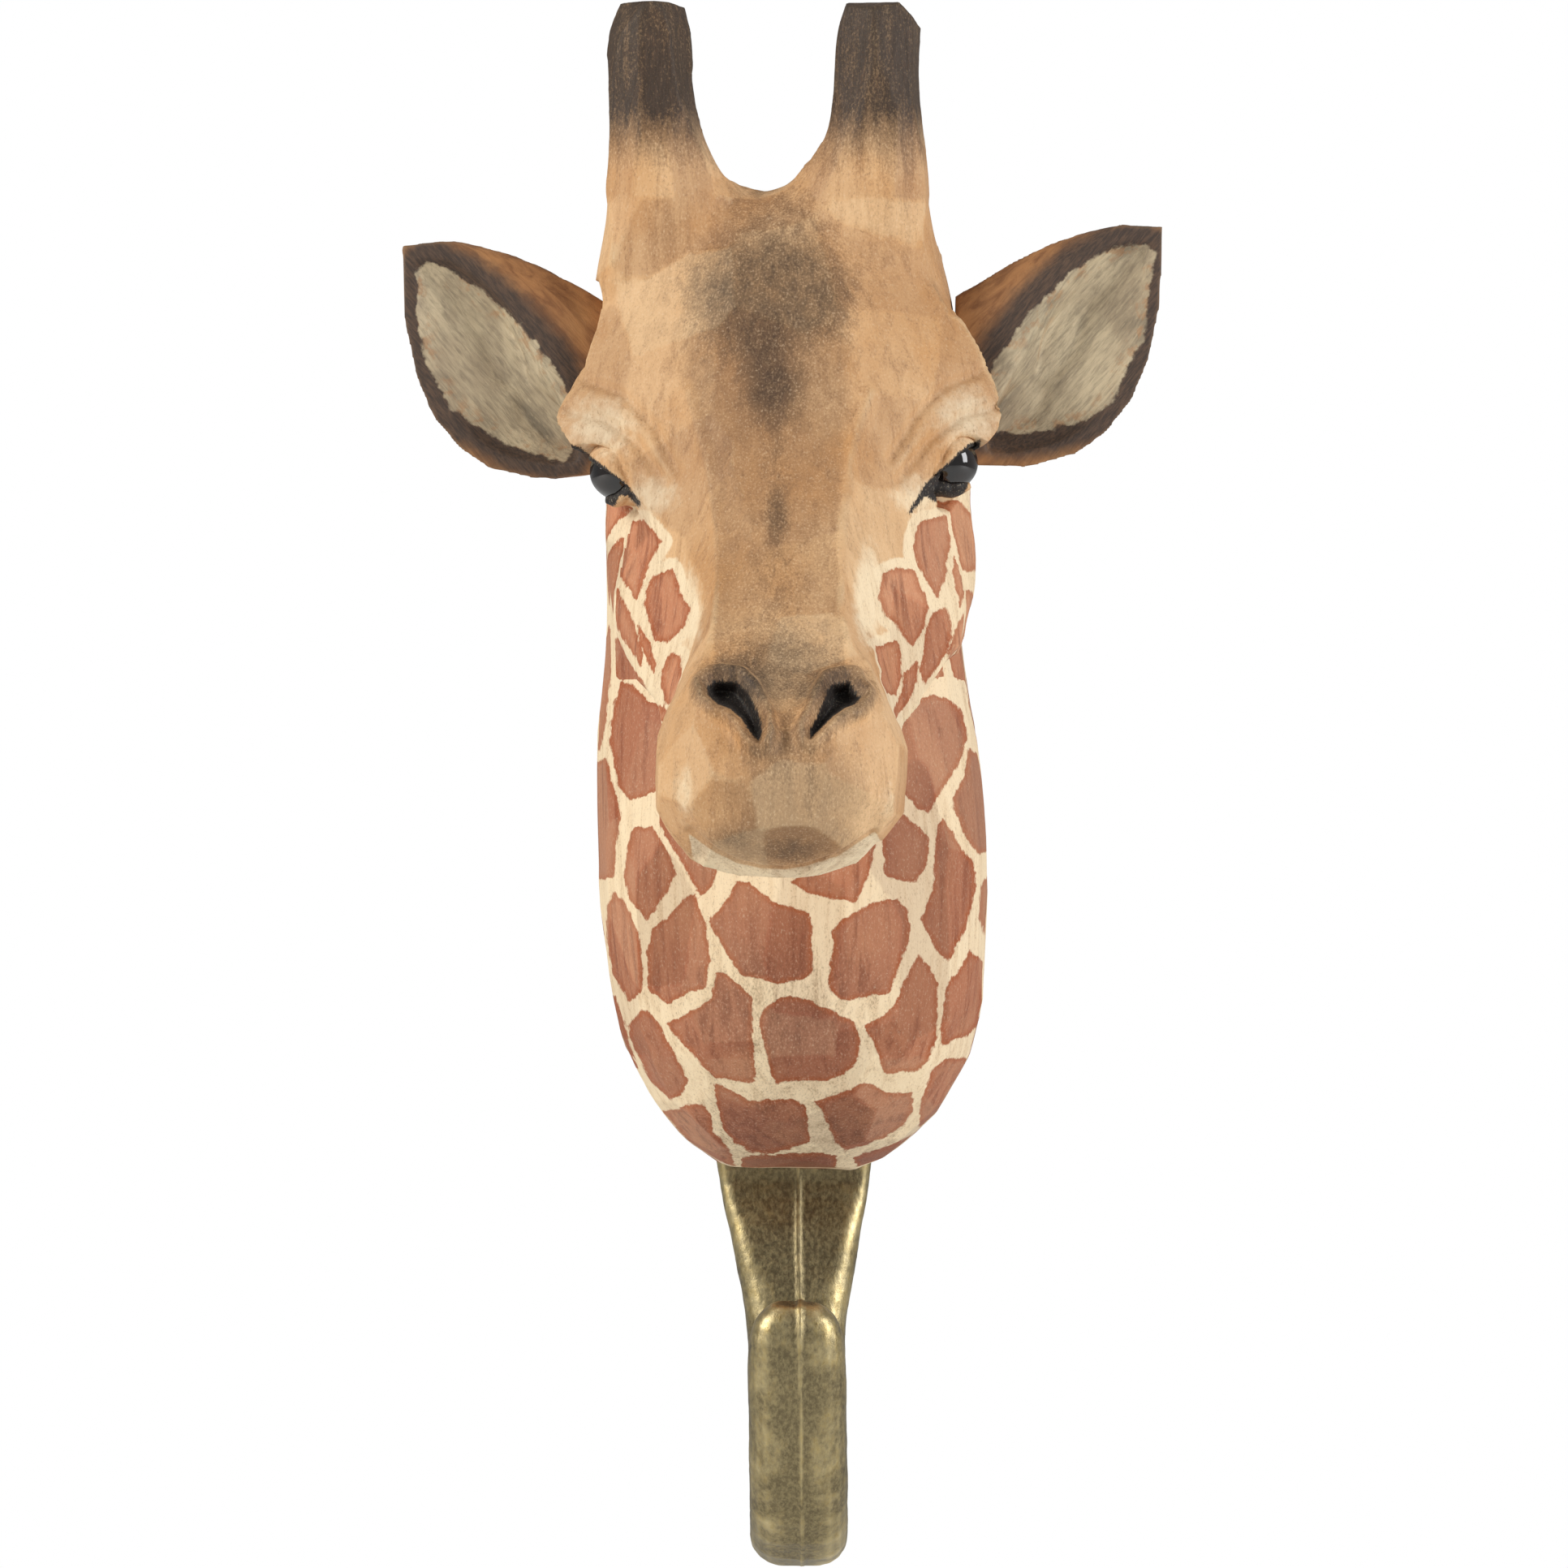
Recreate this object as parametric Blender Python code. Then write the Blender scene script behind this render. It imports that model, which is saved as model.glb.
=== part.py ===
"""Carved giraffe-head wall hook: painted wooden head and neck blocks with a cast metal coat hook.

Units in the tables are millimetres. X runs to the right seen from the front, depth runs forward
from the wall (depth = -Y), and Z runs up. The origin lies on the wall plane, on the hook's
centreline, half way up the whole object.
"""

import math

import bmesh
import bpy
from mathutils import Matrix, Vector

MM = 0.001
GAP = 0.3

# Driving dimensions.
HEAD_SHIFT = -1.6
HEAD_SKEW = 0.024
JAW_SWAY = 1.8
CROWN_LEAN = -0.7
JAW_MIDDLE = 38.0
SNOUT_START = 48.0
GLUE_DEPTH = 30.0
HEAD_PITCH = math.radians(43.0)
POLL_DEPTH = 24.0
POLL_Z = 56.0
NECK_CENTRE_DEPTH = 11.0
NECK_BACK_REACH = 15.0
NECK_SQUARENESS = 2.5
HORN_SIDES = 14
HEAD_ROW_STEP = 2.9
NECK_ROW_STEP = 4.0
NECK_SIDES = 32

EYE_RADIUS = 3.9
EYE_DOME = 2.9
EYE_SKIRT = 2.2
EYE_CENTRE = (18.8, 46.8, 34.6)
EYE_FACING = (0.78, 0.62, -0.06)

# Balls whose shared skin is one nostril: middle (x outwards, depth, z) and radius.
NOSTRIL_BALLS = (
    ((6.9, 82.4, 10.0), 1.7),
    ((5.2, 84.0, 10.4), 1.4),
    ((2.7, 88.0, 4.8), 0.6),
)

EAR_ROOT_X = 19.7
EAR_ROOT_DEPTH = 35.3
EAR_ROOT_Z = 45.5
EAR_SHIFT = 0.2
EAR_DOWEL_RADIUS = 1.75

HEAD_DOWEL_RADIUS = 3.0
HEAD_DOWEL_LENGTH = 22.0
HEAD_DOWEL_HEIGHTS = {"upper": 48.0, "lower": 26.0}

PLATE_TOP_Z = -18.0
PLATE_WIDTH = 20.0
PLATE_THICKNESS = 3.0
PLATE_BACK = 0.2
HOOK_SCREW_HEIGHTS = {"upper": -24.0, "lower": -37.0}
HOOK_SCREW = {"head": 3.6, "shank": 1.8, "length": 15.0, "bevel": 2.2}

SCREW_SIDES = 14
SCREW_THREADS = 3
FACE_LIP = 0.35
INTO_WOOD = Vector((0, -1, 0))

HANGER_Z = 20.0
HANGER_WIDTH = 15.0
HANGER_HEIGHT = 33.0
HANGER_THICKNESS = 1.4
HANGER_BACK = 0.1
KEYHOLE_RADIUS = 4.7
KEYHOLE_DROP = -4.0
SLOT_RADIUS = 2.4
SLOT_RISE = 5.5
CAVITY_DEPTH = 7.0
HANGER_SCREW_OFFSETS = {"upper": 13.0, "lower": -13.0}
HANGER_SCREW = {"head": 2.5, "shank": 1.2, "length": 10.0, "bevel": 1.3}

# Neck: height, centre x, half width, back depth, front depth. Above NECK_SHOULDER it is planed off
# at the glue face.
NECK_SHOULDER = 12.0
NECK_SECTIONS = (
    (-44.8, 0.0, 6.0, 1.5, 12.0),
    (-43.9, 0.1, 9.4, 0.0, 17.5),
    (-41.6, 0.3, 12.6, 0.0, 23.0),
    (-38.0, 0.6, 16.1, 0.0, 27.8),
    (-32.5, 0.6, 19.4, 0.0, 31.8),
    (-26.0, 0.3, 21.3, 0.0, 34.0),
    (-18.0, 0.0, 22.1, 0.0, 35.0),
    (-8.0, -0.2, 22.6, 0.0, 35.0),
    (2.0, -0.7, 22.3, 0.0, 34.0),
    (9.0, -1.1, 21.6, 0.0, 32.2),
    (15.0, -1.2, 20.8, 0.0, 33.0),
    (21.0, -1.4, 20.3, 0.0, 40.0),
    (29.0, -1.6, 20.3, 0.0, 46.0),
    (37.0, -1.6, 20.2, 0.0, 48.0),
    (43.0, -1.6, 20.0, 1.5, 48.0),
    (49.0, -1.6, 19.7, 5.5, 48.0),
    (55.0, -1.8, 19.2, 12.0, 48.0),
    (60.0, -2.0, 18.3, 19.0, 48.0),
    (63.5, -2.2, 16.5, 25.0, 48.0),
    (64.8, -2.2, 14.5, 27.8, 48.0),
)

# Head: sections square to the head's own axis, poll to muzzle. Each row holds the distance along
# the axis, then (half width, height over the axis) from the top centre to the bottom centre:
# crest, bridge edge, brow ridge, eye line, cheekbone, cheek, jaw edge and throat.
HEAD_SECTIONS = (
    (-8.0, (0, 6), (7, 5.5), (12, 3), (13, -2), (13, -7), (12, -12), (7, -17), (0, -18)),
    (-4.0, (0, 11.5), (9, 11.2), (15.8, 8), (17.4, 2), (17.6, -4), (16.4, -11), (10, -18), (0, -20)),
    (0.0, (0, 16.5), (10, 16), (17.6, 11), (19.1, 4), (19.2, -3), (18.2, -11), (11, -19), (0, -22)),
    (5.0, (0, 18.2), (9.5, 17.2), (18.5, 11.5), (19.7, 4), (19.6, -4), (19, -12), (12, -20), (0, -23)),
    (12.0, (0, 18.5), (9, 17), (19.5, 11.2), (20.1, 4), (20, -4), (19.8, -12), (13, -21), (0, -24.5)),
    (19.0, (0, 17), (8.8, 16), (22.3, 8.8), (20.8, 3), (20.3, -4), (20, -12), (14, -22), (0, -25.5)),
    (25.0, (0, 15.2), (8.4, 14.7), (24.4, 6), (20, 1.5), (20.4, -4.5), (20.5, -12), (14.5, -22), (0, -25.5)),
    (31.0, (0, 13.7), (8, 13.2), (21.4, 4.6), (17.6, 0.8), (20.3, -5), (20.7, -12), (15, -21.5), (0, -25)),
    (37.0, (0, 12.5), (7.5, 12.1), (15.6, 4), (15.9, 0), (19.5, -6), (20.7, -11.5), (15, -19.5), (0, -23)),
    (44.0, (0, 11.4), (7.1, 11), (12.7, 4.6), (14.7, 0), (18, -5.5), (19.8, -10.5), (14, -16.8), (0, -19)),
    (52.0, (0, 10.4), (6.9, 10.1), (10.8, 4.6), (12.6, 0), (15.4, -4.5), (17, -9), (11.5, -13.3), (0, -14.8)),
    (60.0, (0, 9.6), (6.9, 9.3), (9.8, 4.6), (11.2, 0.5), (12.8, -3), (13.3, -6.8), (8.8, -10.5), (0, -11.4)),
    (67.0, (0, 9.4), (8.2, 9.3), (11, 5.5), (12.1, 1.8), (12.8, -1.8), (12.4, -5.2), (7.8, -9), (0, -9.8)),
    (73.0, (0, 10.2), (9.2, 10.2), (12.6, 6.5), (13.6, 2), (13.7, -1.5), (12.6, -5), (7.6, -8.7), (0, -9.3)),
    (79.0, (0, 10.6), (8.4, 10), (12.4, 5.6), (13.6, 1.6), (13.5, -1.8), (11.8, -5), (7.2, -8.3), (0, -8.9)),
    (84.0, (0, 8.2), (6.4, 7.6), (10.2, 4.2), (11.2, 1), (10.8, -1.6), (9.2, -4.4), (5.6, -6.8), (0, -7.2)),
    (86.8, (0, 4.6), (3.6, 4.2), (5.8, 2.4), (6.4, 0.6), (6.2, -1), (5.2, -2.6), (3.2, -4.2), (0, -4.6)),
)

# Horns, base to tip: height, centre x, half width, centre depth, half depth. Local to the head.
HORNS = {
    "left": (
        (50.0, -12.9, 7.4, 36.5, 5.6),
        (57.0, -13.2, 7.5, 36.9, 6.0),
        (64.0, -12.8, 7.4, 36.6, 5.8),
        (68.0, -13.0, 6.9, 36.4, 5.5),
        (72.5, -13.9, 5.7, 36.1, 5.2),
        (77.0, -14.8, 4.8, 35.8, 4.9),
        (82.0, -15.1, 4.45, 35.5, 4.6),
        (86.3, -15.1, 4.4, 35.3, 4.5),
        (88.3, -14.9, 3.5, 35.2, 3.7),
        (88.9, -14.8, 2.6, 35.2, 3.0),
    ),
    "right": (
        (50.0, 11.0, 7.4, 36.5, 5.6),
        (57.0, 11.0, 7.4, 36.9, 6.0),
        (64.0, 9.9, 7.5, 36.6, 5.8),
        (68.0, 9.7, 7.3, 36.4, 5.5),
        (72.5, 10.6, 5.8, 36.1, 5.2),
        (77.0, 10.8, 5.0, 35.8, 4.9),
        (82.0, 10.8, 4.75, 35.5, 4.7),
        (86.3, 10.9, 4.8, 35.3, 4.6),
        (88.3, 10.9, 3.9, 35.2, 3.8),
        (88.9, 10.9, 3.0, 35.2, 3.0),
    ),
}

# Ear rim, seen from the front: (x outwards, z), round from the tip along the inner edge.
EAR_RIM = (
    (43.3, 62.3),
    (38.6, 62.7),
    (31.8, 58.4),
    (28.0, 53.8),
    (24.8, 47.6),
    (22.4, 41.6),
    (21.6, 35.6),
    (28.0, 35.3),
    (33.4, 36.7),
    (36.8, 39.1),
    (39.8, 42.8),
    (41.7, 47.4),
    (43.0, 53.6),
)
EAR_BACK_RIDGE = ((41.0, 62.6), (37.5, 62.8), (34.0, 62.0), (30.3, 60.8), (27.0, 59.3), (24.0, 57.5))
EAR_FACE_DEPTH = 40.2
EAR_SPLAY = 0.15
EAR_EDGE = 2.2
EAR_RIM_WIDTH = 2.2
# The scoop in stages: how far in from the rim, how deep, and how far shifted towards the root.
EAR_SCOOP = (
    (EAR_RIM_WIDTH - 0.2, -1.0, 0.0),
    (EAR_RIM_WIDTH, 0.0, 0.0),
    (EAR_RIM_WIDTH + 1.0, 0.9, 0.6),
    (EAR_RIM_WIDTH + 3.2, 1.9, 2.2),
    (EAR_RIM_WIDTH + 5.4, 2.8, 4.2),
)
EAR_ROOT_HALF_DEPTH = 4.3
EAR_ROOT_HALF_HEIGHT = 9.6

# How far the casting wanders sideways for each mm below the neck.
HOOK_DRIFT = 0.012

# Hook, plate end to finger tip: depth, height, half width and half thickness of each section.
HOOK_SECTIONS = (
    (1.7, PLATE_TOP_Z - 0.1, 1.4, 1.5),
    (1.7, PLATE_TOP_Z - 0.6, 3.4, 1.5),
    (1.7, PLATE_TOP_Z - 2.0, 6.0, 1.5),
    (1.7, PLATE_TOP_Z - 4.5, 8.3, 1.5),
    (1.7, PLATE_TOP_Z - 10.0, 10.0, 1.5),
    (1.7, -40.0, 9.6, 1.5),
    (1.7, -46.6, 8.8, 1.5),
    (2.3, -51.0, 8.0, 2.0),
    (3.1, -56.0, 7.0, 2.7),
    (3.9, -62.0, 6.0, 3.2),
    (4.6, -68.0, 5.6, 3.6),
    (5.6, -74.5, 5.6, 3.8),
    (8.4, -80.6, 5.6, 3.9),
    (13.0, -85.0, 5.6, 4.0),
    (18.8, -86.4, 5.6, 4.0),
    (24.2, -84.2, 5.6, 3.9),
    (28.2, -79.6, 5.6, 3.8),
    (30.8, -73.8, 5.6, 3.7),
    (32.6, -67.8, 5.6, 3.6),
    (33.8, -62.8, 5.3, 3.4),
    (34.3, -60.4, 4.2, 2.6),
    (34.5, -59.3, 2.6, 1.5),
)


def place(x, depth, z):
    """A point in metres from an offset to the right, a depth from the wall and a height, in mm."""
    return Vector((x, -depth, z)) * MM


def clear_scene():
    for obj in list(bpy.data.objects):
        bpy.data.objects.remove(obj, do_unlink=True)


def new_collection(name):
    collection = bpy.data.collections.new(name)
    bpy.context.scene.collection.children.link(collection)
    return collection


def new_material(name, colour, roughness, metallic=0.0):
    material = bpy.data.materials.new(name)
    material.use_nodes = True
    shader = material.node_tree.nodes["Principled BSDF"]
    shader.inputs["Base Color"].default_value = (*colour, 1.0)
    shader.inputs["Roughness"].default_value = roughness
    shader.inputs["Metallic"].default_value = metallic
    return material


def add_object(name, mesh, material=None, parent=None):
    """Links a mesh as a part. An object with no material is a cutter, hidden from the build."""
    obj = bpy.data.objects.new(name, mesh)
    if material is None:
        CUTTERS.objects.link(obj)
        obj.hide_render = True
        obj.display_type = "WIRE"
    else:
        PARTS.objects.link(obj)
        mesh.materials.append(material)
    obj.parent = parent
    return obj


def mesh_from(bm, name):
    bmesh.ops.recalc_face_normals(bm, faces=bm.faces[:])
    mesh = bpy.data.meshes.new(name)
    bm.to_mesh(mesh)
    bm.free()
    mesh.shade_smooth()
    mesh.set_sharp_from_angle(angle=math.radians(35.0))
    return mesh


def loft(name, rings):
    """A closed skin over rings of points in order, with a fan over each end."""
    bm = bmesh.new()
    rows = [[bm.verts.new(point) for point in ring] for ring in rings]
    count = len(rows[0])
    for lower, upper in zip(rows, rows[1:]):
        for i in range(count):
            j = (i + 1) % count
            bm.faces.new((lower[i], lower[j], upper[j], upper[i]))
    for row in (rows[0], rows[-1]):
        middle = bm.verts.new(sum((v.co for v in row), Vector()) / count)
        for i in range(count):
            bm.faces.new((row[i], row[(i + 1) % count], middle))
    return mesh_from(bm, name)


def hull(name, points):
    """The convex skin round a cloud of points."""
    bm = bmesh.new()
    for point in points:
        bm.verts.new(point)
    made = bmesh.ops.convex_hull(bm, input=bm.verts[:])
    bmesh.ops.delete(bm, geom=list(set(made["geom_interior"] + made["geom_unused"])), context="VERTS")
    return mesh_from(bm, name)


def curve_through(values, t):
    """The Catmull-Rom curve through a list of tuples, read at t counted in list places."""
    last = len(values) - 1
    i = min(int(t), last - 1)
    f = t - i
    a, b, c, d = (Vector(values[min(max(k, 0), last)]) for k in (i - 1, i, i + 1, i + 2))
    square, cube = 2 * a - 5 * b + 4 * c - d, 3 * b - a - 3 * c + d
    return 0.5 * (2 * b + (c - a) * f + square * f**2 + cube * f**3)


def resample(rows, spacing):
    """Rows of numbers filled in smoothly, with about one new row for each spacing in the first number."""
    filled = [Vector(rows[0])]
    for i in range(len(rows) - 1):
        steps = max(1, round(abs(rows[i + 1][0] - rows[i][0]) / spacing))
        filled += [curve_through(rows, i + k / steps) for k in range(1, steps + 1)]
    return filled


def cylinder_between(name, start, end, radius, sides=24):
    """A round bar from one point in metres to another."""
    axis = end - start
    bm = bmesh.new()
    bmesh.ops.create_cone(
        bm,
        cap_ends=True,
        segments=sides,
        radius1=radius * MM,
        radius2=radius * MM,
        depth=axis.length,
        matrix=Matrix.Translation((start + end) / 2) @ axis.to_track_quat("Z", "X").to_matrix().to_4x4(),
    )
    return mesh_from(bm, name)


def box_between(name, low, high):
    """A box from its low and high corners, given as (x, depth, z) in mm."""
    a, b = place(*low), place(*high)
    bm = bmesh.new()
    size = Matrix.Diagonal((abs(b.x - a.x), abs(b.y - a.y), abs(b.z - a.z), 1.0))
    bmesh.ops.create_cube(bm, size=1.0, matrix=Matrix.Translation((a + b) / 2) @ size)
    return mesh_from(bm, name)


def boolean(target, cutter, operation="DIFFERENCE"):
    modifier = target.modifiers.new(cutter.name, "BOOLEAN")
    modifier.operation = operation
    modifier.object = cutter
    return modifier


def turned(name, profile, origin, axis, sides=24):
    """A solid of revolution: profile runs (radius, distance along the axis), both in mm, tip to tail."""
    turn = axis.to_track_quat("Z", "X").to_matrix()
    rings = []
    for radius, along in profile:
        ring = []
        for i in range(sides):
            angle = math.tau * i / sides
            local = Vector((radius * math.cos(angle), radius * math.sin(angle), along)) * MM
            ring.append(origin + turn @ local)
        rings.append(ring)
    return loft(name, rings)


def neck_ring(section, sides=NECK_SIDES):
    """One level cut through the neck: a squared oval, planed flat at the wall and at the glue face."""
    z, centre, half_width, back, front = section
    ring = []
    for i in range(sides):
        angle = math.tau * (i + 0.5) / sides
        across, along = math.sin(angle), math.cos(angle)
        reach = front - NECK_CENTRE_DEPTH if along > 0 else NECK_BACK_REACH
        x = half_width * math.copysign(abs(across) ** (2 / NECK_SQUARENESS), across)
        depth = NECK_CENTRE_DEPTH + reach * math.copysign(abs(along) ** (2 / NECK_SQUARENESS), along)
        limit = GLUE_DEPTH if z > NECK_SHOULDER else front
        ring.append(place(x + centre, min(max(depth, back), limit), z))
    return ring


def head_point(x, along, over):
    """From the head's own axis to depth and height: along runs poll to muzzle, over is square to it."""
    depth = POLL_DEPTH + along * math.sin(HEAD_PITCH) + over * math.cos(HEAD_PITCH)
    z = POLL_Z - along * math.cos(HEAD_PITCH) + over * math.sin(HEAD_PITCH)
    askew = min(max((SNOUT_START + 12 - along) / 25, 0), 1)
    return place(x, depth, z + HEAD_SKEW * askew * x)


def head_ring(row, steps):
    """One section of the head: the right half, smoothed, then mirrored to the left."""
    along = row[0]
    half = [(row[i], row[i + 1]) for i in range(1, len(row), 2)]
    closed = [(-half[1][0], half[1][1]), *half, (-half[-2][0], half[-2][1])]
    last = steps * (len(half) - 1)
    right = [curve_through(closed, 1 + k / steps) for k in range(last + 1)]
    sway = JAW_SWAY * max(0, 1 - ((along - JAW_MIDDLE) / 24) ** 2) / last
    lean = CROWN_LEAN * min(max((20 - along) / 14, 0), 1)
    ring = [head_point(lean + sway * k + p.x, along, p.y) for k, p in enumerate(right)]
    left = [head_point(lean + sway * k - right[k].x, along, right[k].y) for k in range(last - 1, 0, -1)]
    return ring + left


def horn_rings(sections):
    rings = []
    for z, centre, half_width, depth, half_depth in resample(sections, 2.6):
        ring = []
        for i in range(HORN_SIDES):
            angle = math.tau * i / HORN_SIDES
            across, along = math.cos(angle), math.sin(angle)
            x = centre + half_width * math.copysign(abs(across) ** 0.8, across)
            y = depth + half_depth * math.copysign(abs(along) ** 0.8, along)
            ring.append(place(x, y, z))
        rings.append(ring)
    return rings


def ear_matrix(side):
    """Mirrors the ear for the left side, then carries it up to the right with the head's skew."""
    skew = Matrix(((1, 0, 0, 0), (0, 1, 0, 0), (HEAD_SKEW, 0, 1, 0), (0, 0, 0, 1)))
    return Matrix.Translation(place(EAR_SHIFT, 0, 0)) @ skew @ Matrix.Diagonal((side, 1.0, 1.0, 1.0))


def ear_inset(amount):
    """The ear's rim outline pulled in towards its own middle by about that many mm."""
    middle = sum((Vector(p) for p in EAR_RIM), Vector((0, 0))) / len(EAR_RIM)
    inset = []
    for p in EAR_RIM:
        arm = Vector(p) - middle
        inset.append(middle + arm * (1 - amount / arm.length))
    return inset


def ear_axis(side, x):
    """A point on the middle line of the dowel that holds the ear."""
    return ear_matrix(side) @ place(x, EAR_ROOT_DEPTH, EAR_ROOT_Z)


def ear_face(x, z, sunk=0.0):
    return place(x, EAR_FACE_DEPTH - EAR_SPLAY * (x - EAR_ROOT_X) - sunk, z)


def ear_mesh(side):
    points = [ear_face(x, z) for x, z in EAR_RIM]
    points += [ear_face(x, z, EAR_EDGE) for x, z in ear_inset(0.4)]
    points += [ear_face(x, z, EAR_EDGE * 1.6) for x, z in EAR_BACK_RIDGE]
    for i in range(24):
        angle = math.tau * i / 24
        depth = EAR_ROOT_DEPTH + EAR_ROOT_HALF_DEPTH * math.cos(angle)
        points.append(place(EAR_ROOT_X, depth, EAR_ROOT_Z + EAR_ROOT_HALF_HEIGHT * math.sin(angle)))
    return hull("ear", [ear_matrix(side) @ p for p in points])


def ear_seat_mesh(side):
    """The notch sawn in the head's flank, square to the ear's root."""
    corners = []
    for x in (EAR_ROOT_X - GAP, EAR_ROOT_X + 14):
        for depth in (EAR_ROOT_DEPTH - EAR_ROOT_HALF_DEPTH - 6, EAR_FACE_DEPTH + GAP):
            for z in (EAR_ROOT_Z - EAR_ROOT_HALF_HEIGHT - 2.5, EAR_ROOT_Z + EAR_ROOT_HALF_HEIGHT + 2.5):
                corners.append(ear_matrix(side) @ place(x, depth, z))
    return hull("ear_seat", corners)


def ear_hollow_mesh(side):
    """The scoop that hollows the ear: the rim outline, shrinking as it goes in."""
    rings = []
    for inset, sunk, inward in EAR_SCOOP:
        outline = [(*p, 0) for p in ear_inset(inset)]
        outline = outline + outline[:2]
        smooth = [curve_through(outline, 0.5 + k / 2) for k in range(2 * len(EAR_RIM))]
        rings.append([ear_matrix(side) @ ear_face(p.x - inward, p.y - inward / 2, sunk) for p in smooth])
    return loft("ear_hollow", rings)


def hook_ring(section, direction):
    """A rounded oblong across the hook, square to its path."""
    depth, z, half_width, half_thickness = section
    drift = HOOK_DRIFT * max(NECK_SECTIONS[0][0] - z, 0)
    corner = min(half_thickness * 0.85, half_width * 0.66, 3.6)
    out = Vector((0, direction.z, -direction.y)).normalized()
    centre = place(drift, depth, z)
    points = []
    for quarter, (sx, so) in enumerate(((1, 1), (-1, 1), (-1, -1), (1, -1))):
        for k in range(5):
            angle = math.pi / 2 * (quarter + k / 4)
            x = sx * (half_width - corner) + corner * math.cos(angle)
            o = so * (half_thickness - corner) + corner * math.sin(angle)
            points.append(centre + Vector((x * MM, 0, 0)) + out * o * MM)
    return points


def hook_mesh():
    rows = [Vector(HOOK_SECTIONS[0])]
    for i in range(len(HOOK_SECTIONS) - 1):
        rows += [curve_through(HOOK_SECTIONS, i + k / 2) for k in (1, 2)]
    rings = []
    for i, row in enumerate(rows):
        before, after = rows[max(i - 1, 0)], rows[min(i + 1, len(rows) - 1)]
        direction = place(0, after[0], after[1]) - place(0, before[0], before[1])
        rings.append(hook_ring(row, direction.normalized()))
    return loft("hook_casting", rings)


def screw_profile(size):
    """Radius and distance back from the face of a countersunk wood screw, point first."""
    head, shank, length, bevel = (size[k] for k in ("head", "shank", "length", "bevel"))
    profile = [(0.15, length), (shank * 0.7, length - 2 * shank)]
    pitch = (length * 0.62) / SCREW_THREADS
    for i in range(SCREW_THREADS):
        at = length - 2 * shank - i * pitch
        root = shank * 0.72
        profile += [(root, at - pitch * 0.25), (shank, at - pitch * 0.6), (root, at - pitch * 0.95)]
    profile += [(shank * 0.8, bevel), (head, FACE_LIP), (head, 0.0)]
    return profile


def add_screw(name, x, depth, z, size, material):
    """A countersunk screw driven forward into the wood, with a cross recess in its head."""
    body = turned(name, screw_profile(size), place(x, depth, z), INTO_WOOD, SCREW_SIDES)
    screw = add_object(name, body, material)
    arm, half = size["head"] * 0.55, size["head"] * 0.12
    deep = size["bevel"] * 0.55
    upright = box_between("cross", (x - half, depth - 1, z - arm), (x + half, depth + deep, z + arm))
    level = box_between("cross", (x - arm, depth - 1, z - half), (x + arm, depth + deep, z + half))
    boolean(screw, add_object(name + "_cross_upright", upright))
    boolean(screw, add_object(name + "_cross_level", level))
    return screw


def cut_screw_hole(target, name, x, depth, z, size):
    """The clearance hole, countersink and pilot that leave a gap all round a screw."""
    profile = [
        (size["shank"] + GAP, size["length"] + GAP),
        (size["shank"] + GAP, size["bevel"] + GAP),
        (size["head"] + GAP, FACE_LIP + GAP),
        (size["head"] + GAP, -1.0),
    ]
    cutter = turned(name, profile, place(x, depth, z), INTO_WOOD, SCREW_SIDES)
    boolean(target, add_object(name, cutter))


def rounded_slot(name, half_width, low_z, high_z, low_depth, high_depth):
    """A block with half-round ends, as a router leaves, standing upright on the back."""
    points = []
    for end, sign in ((high_z - half_width, 1), (low_z + half_width, -1)):
        for i in range(11):
            angle = math.pi * i / 10
            points.append((half_width * math.cos(angle), end + sign * half_width * math.sin(angle)))
    both = [place(x, depth, z) for x, z in points for depth in (low_depth, high_depth)]
    return hull(name, both)


clear_scene()
PARTS = new_collection("giraffe_wall_hook")
CUTTERS = new_collection("cutters")
PAINTED_WOOD = new_material("painted_wood", (0.72, 0.52, 0.31), 0.6)
PATCHED_WOOD = new_material("patched_wood", (0.55, 0.30, 0.20), 0.6)
EAR_WOOD = new_material("ear_wood", (0.38, 0.30, 0.24), 0.65)
PLAIN_WOOD = new_material("dowel_wood", (0.76, 0.62, 0.42), 0.7)
EYE_GLASS = new_material("eye_glass", (0.02, 0.02, 0.02), 0.08)
HOOK_METAL = new_material("aged_brass", (0.36, 0.29, 0.16), 0.38, 1.0)
STEEL = new_material("zinc_steel", (0.62, 0.62, 0.6), 0.35, 1.0)

head_frame = bpy.data.objects.new("head_frame", None)
PARTS.objects.link(head_frame)
head_frame.location = place(HEAD_SHIFT, 0, 0)


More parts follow.
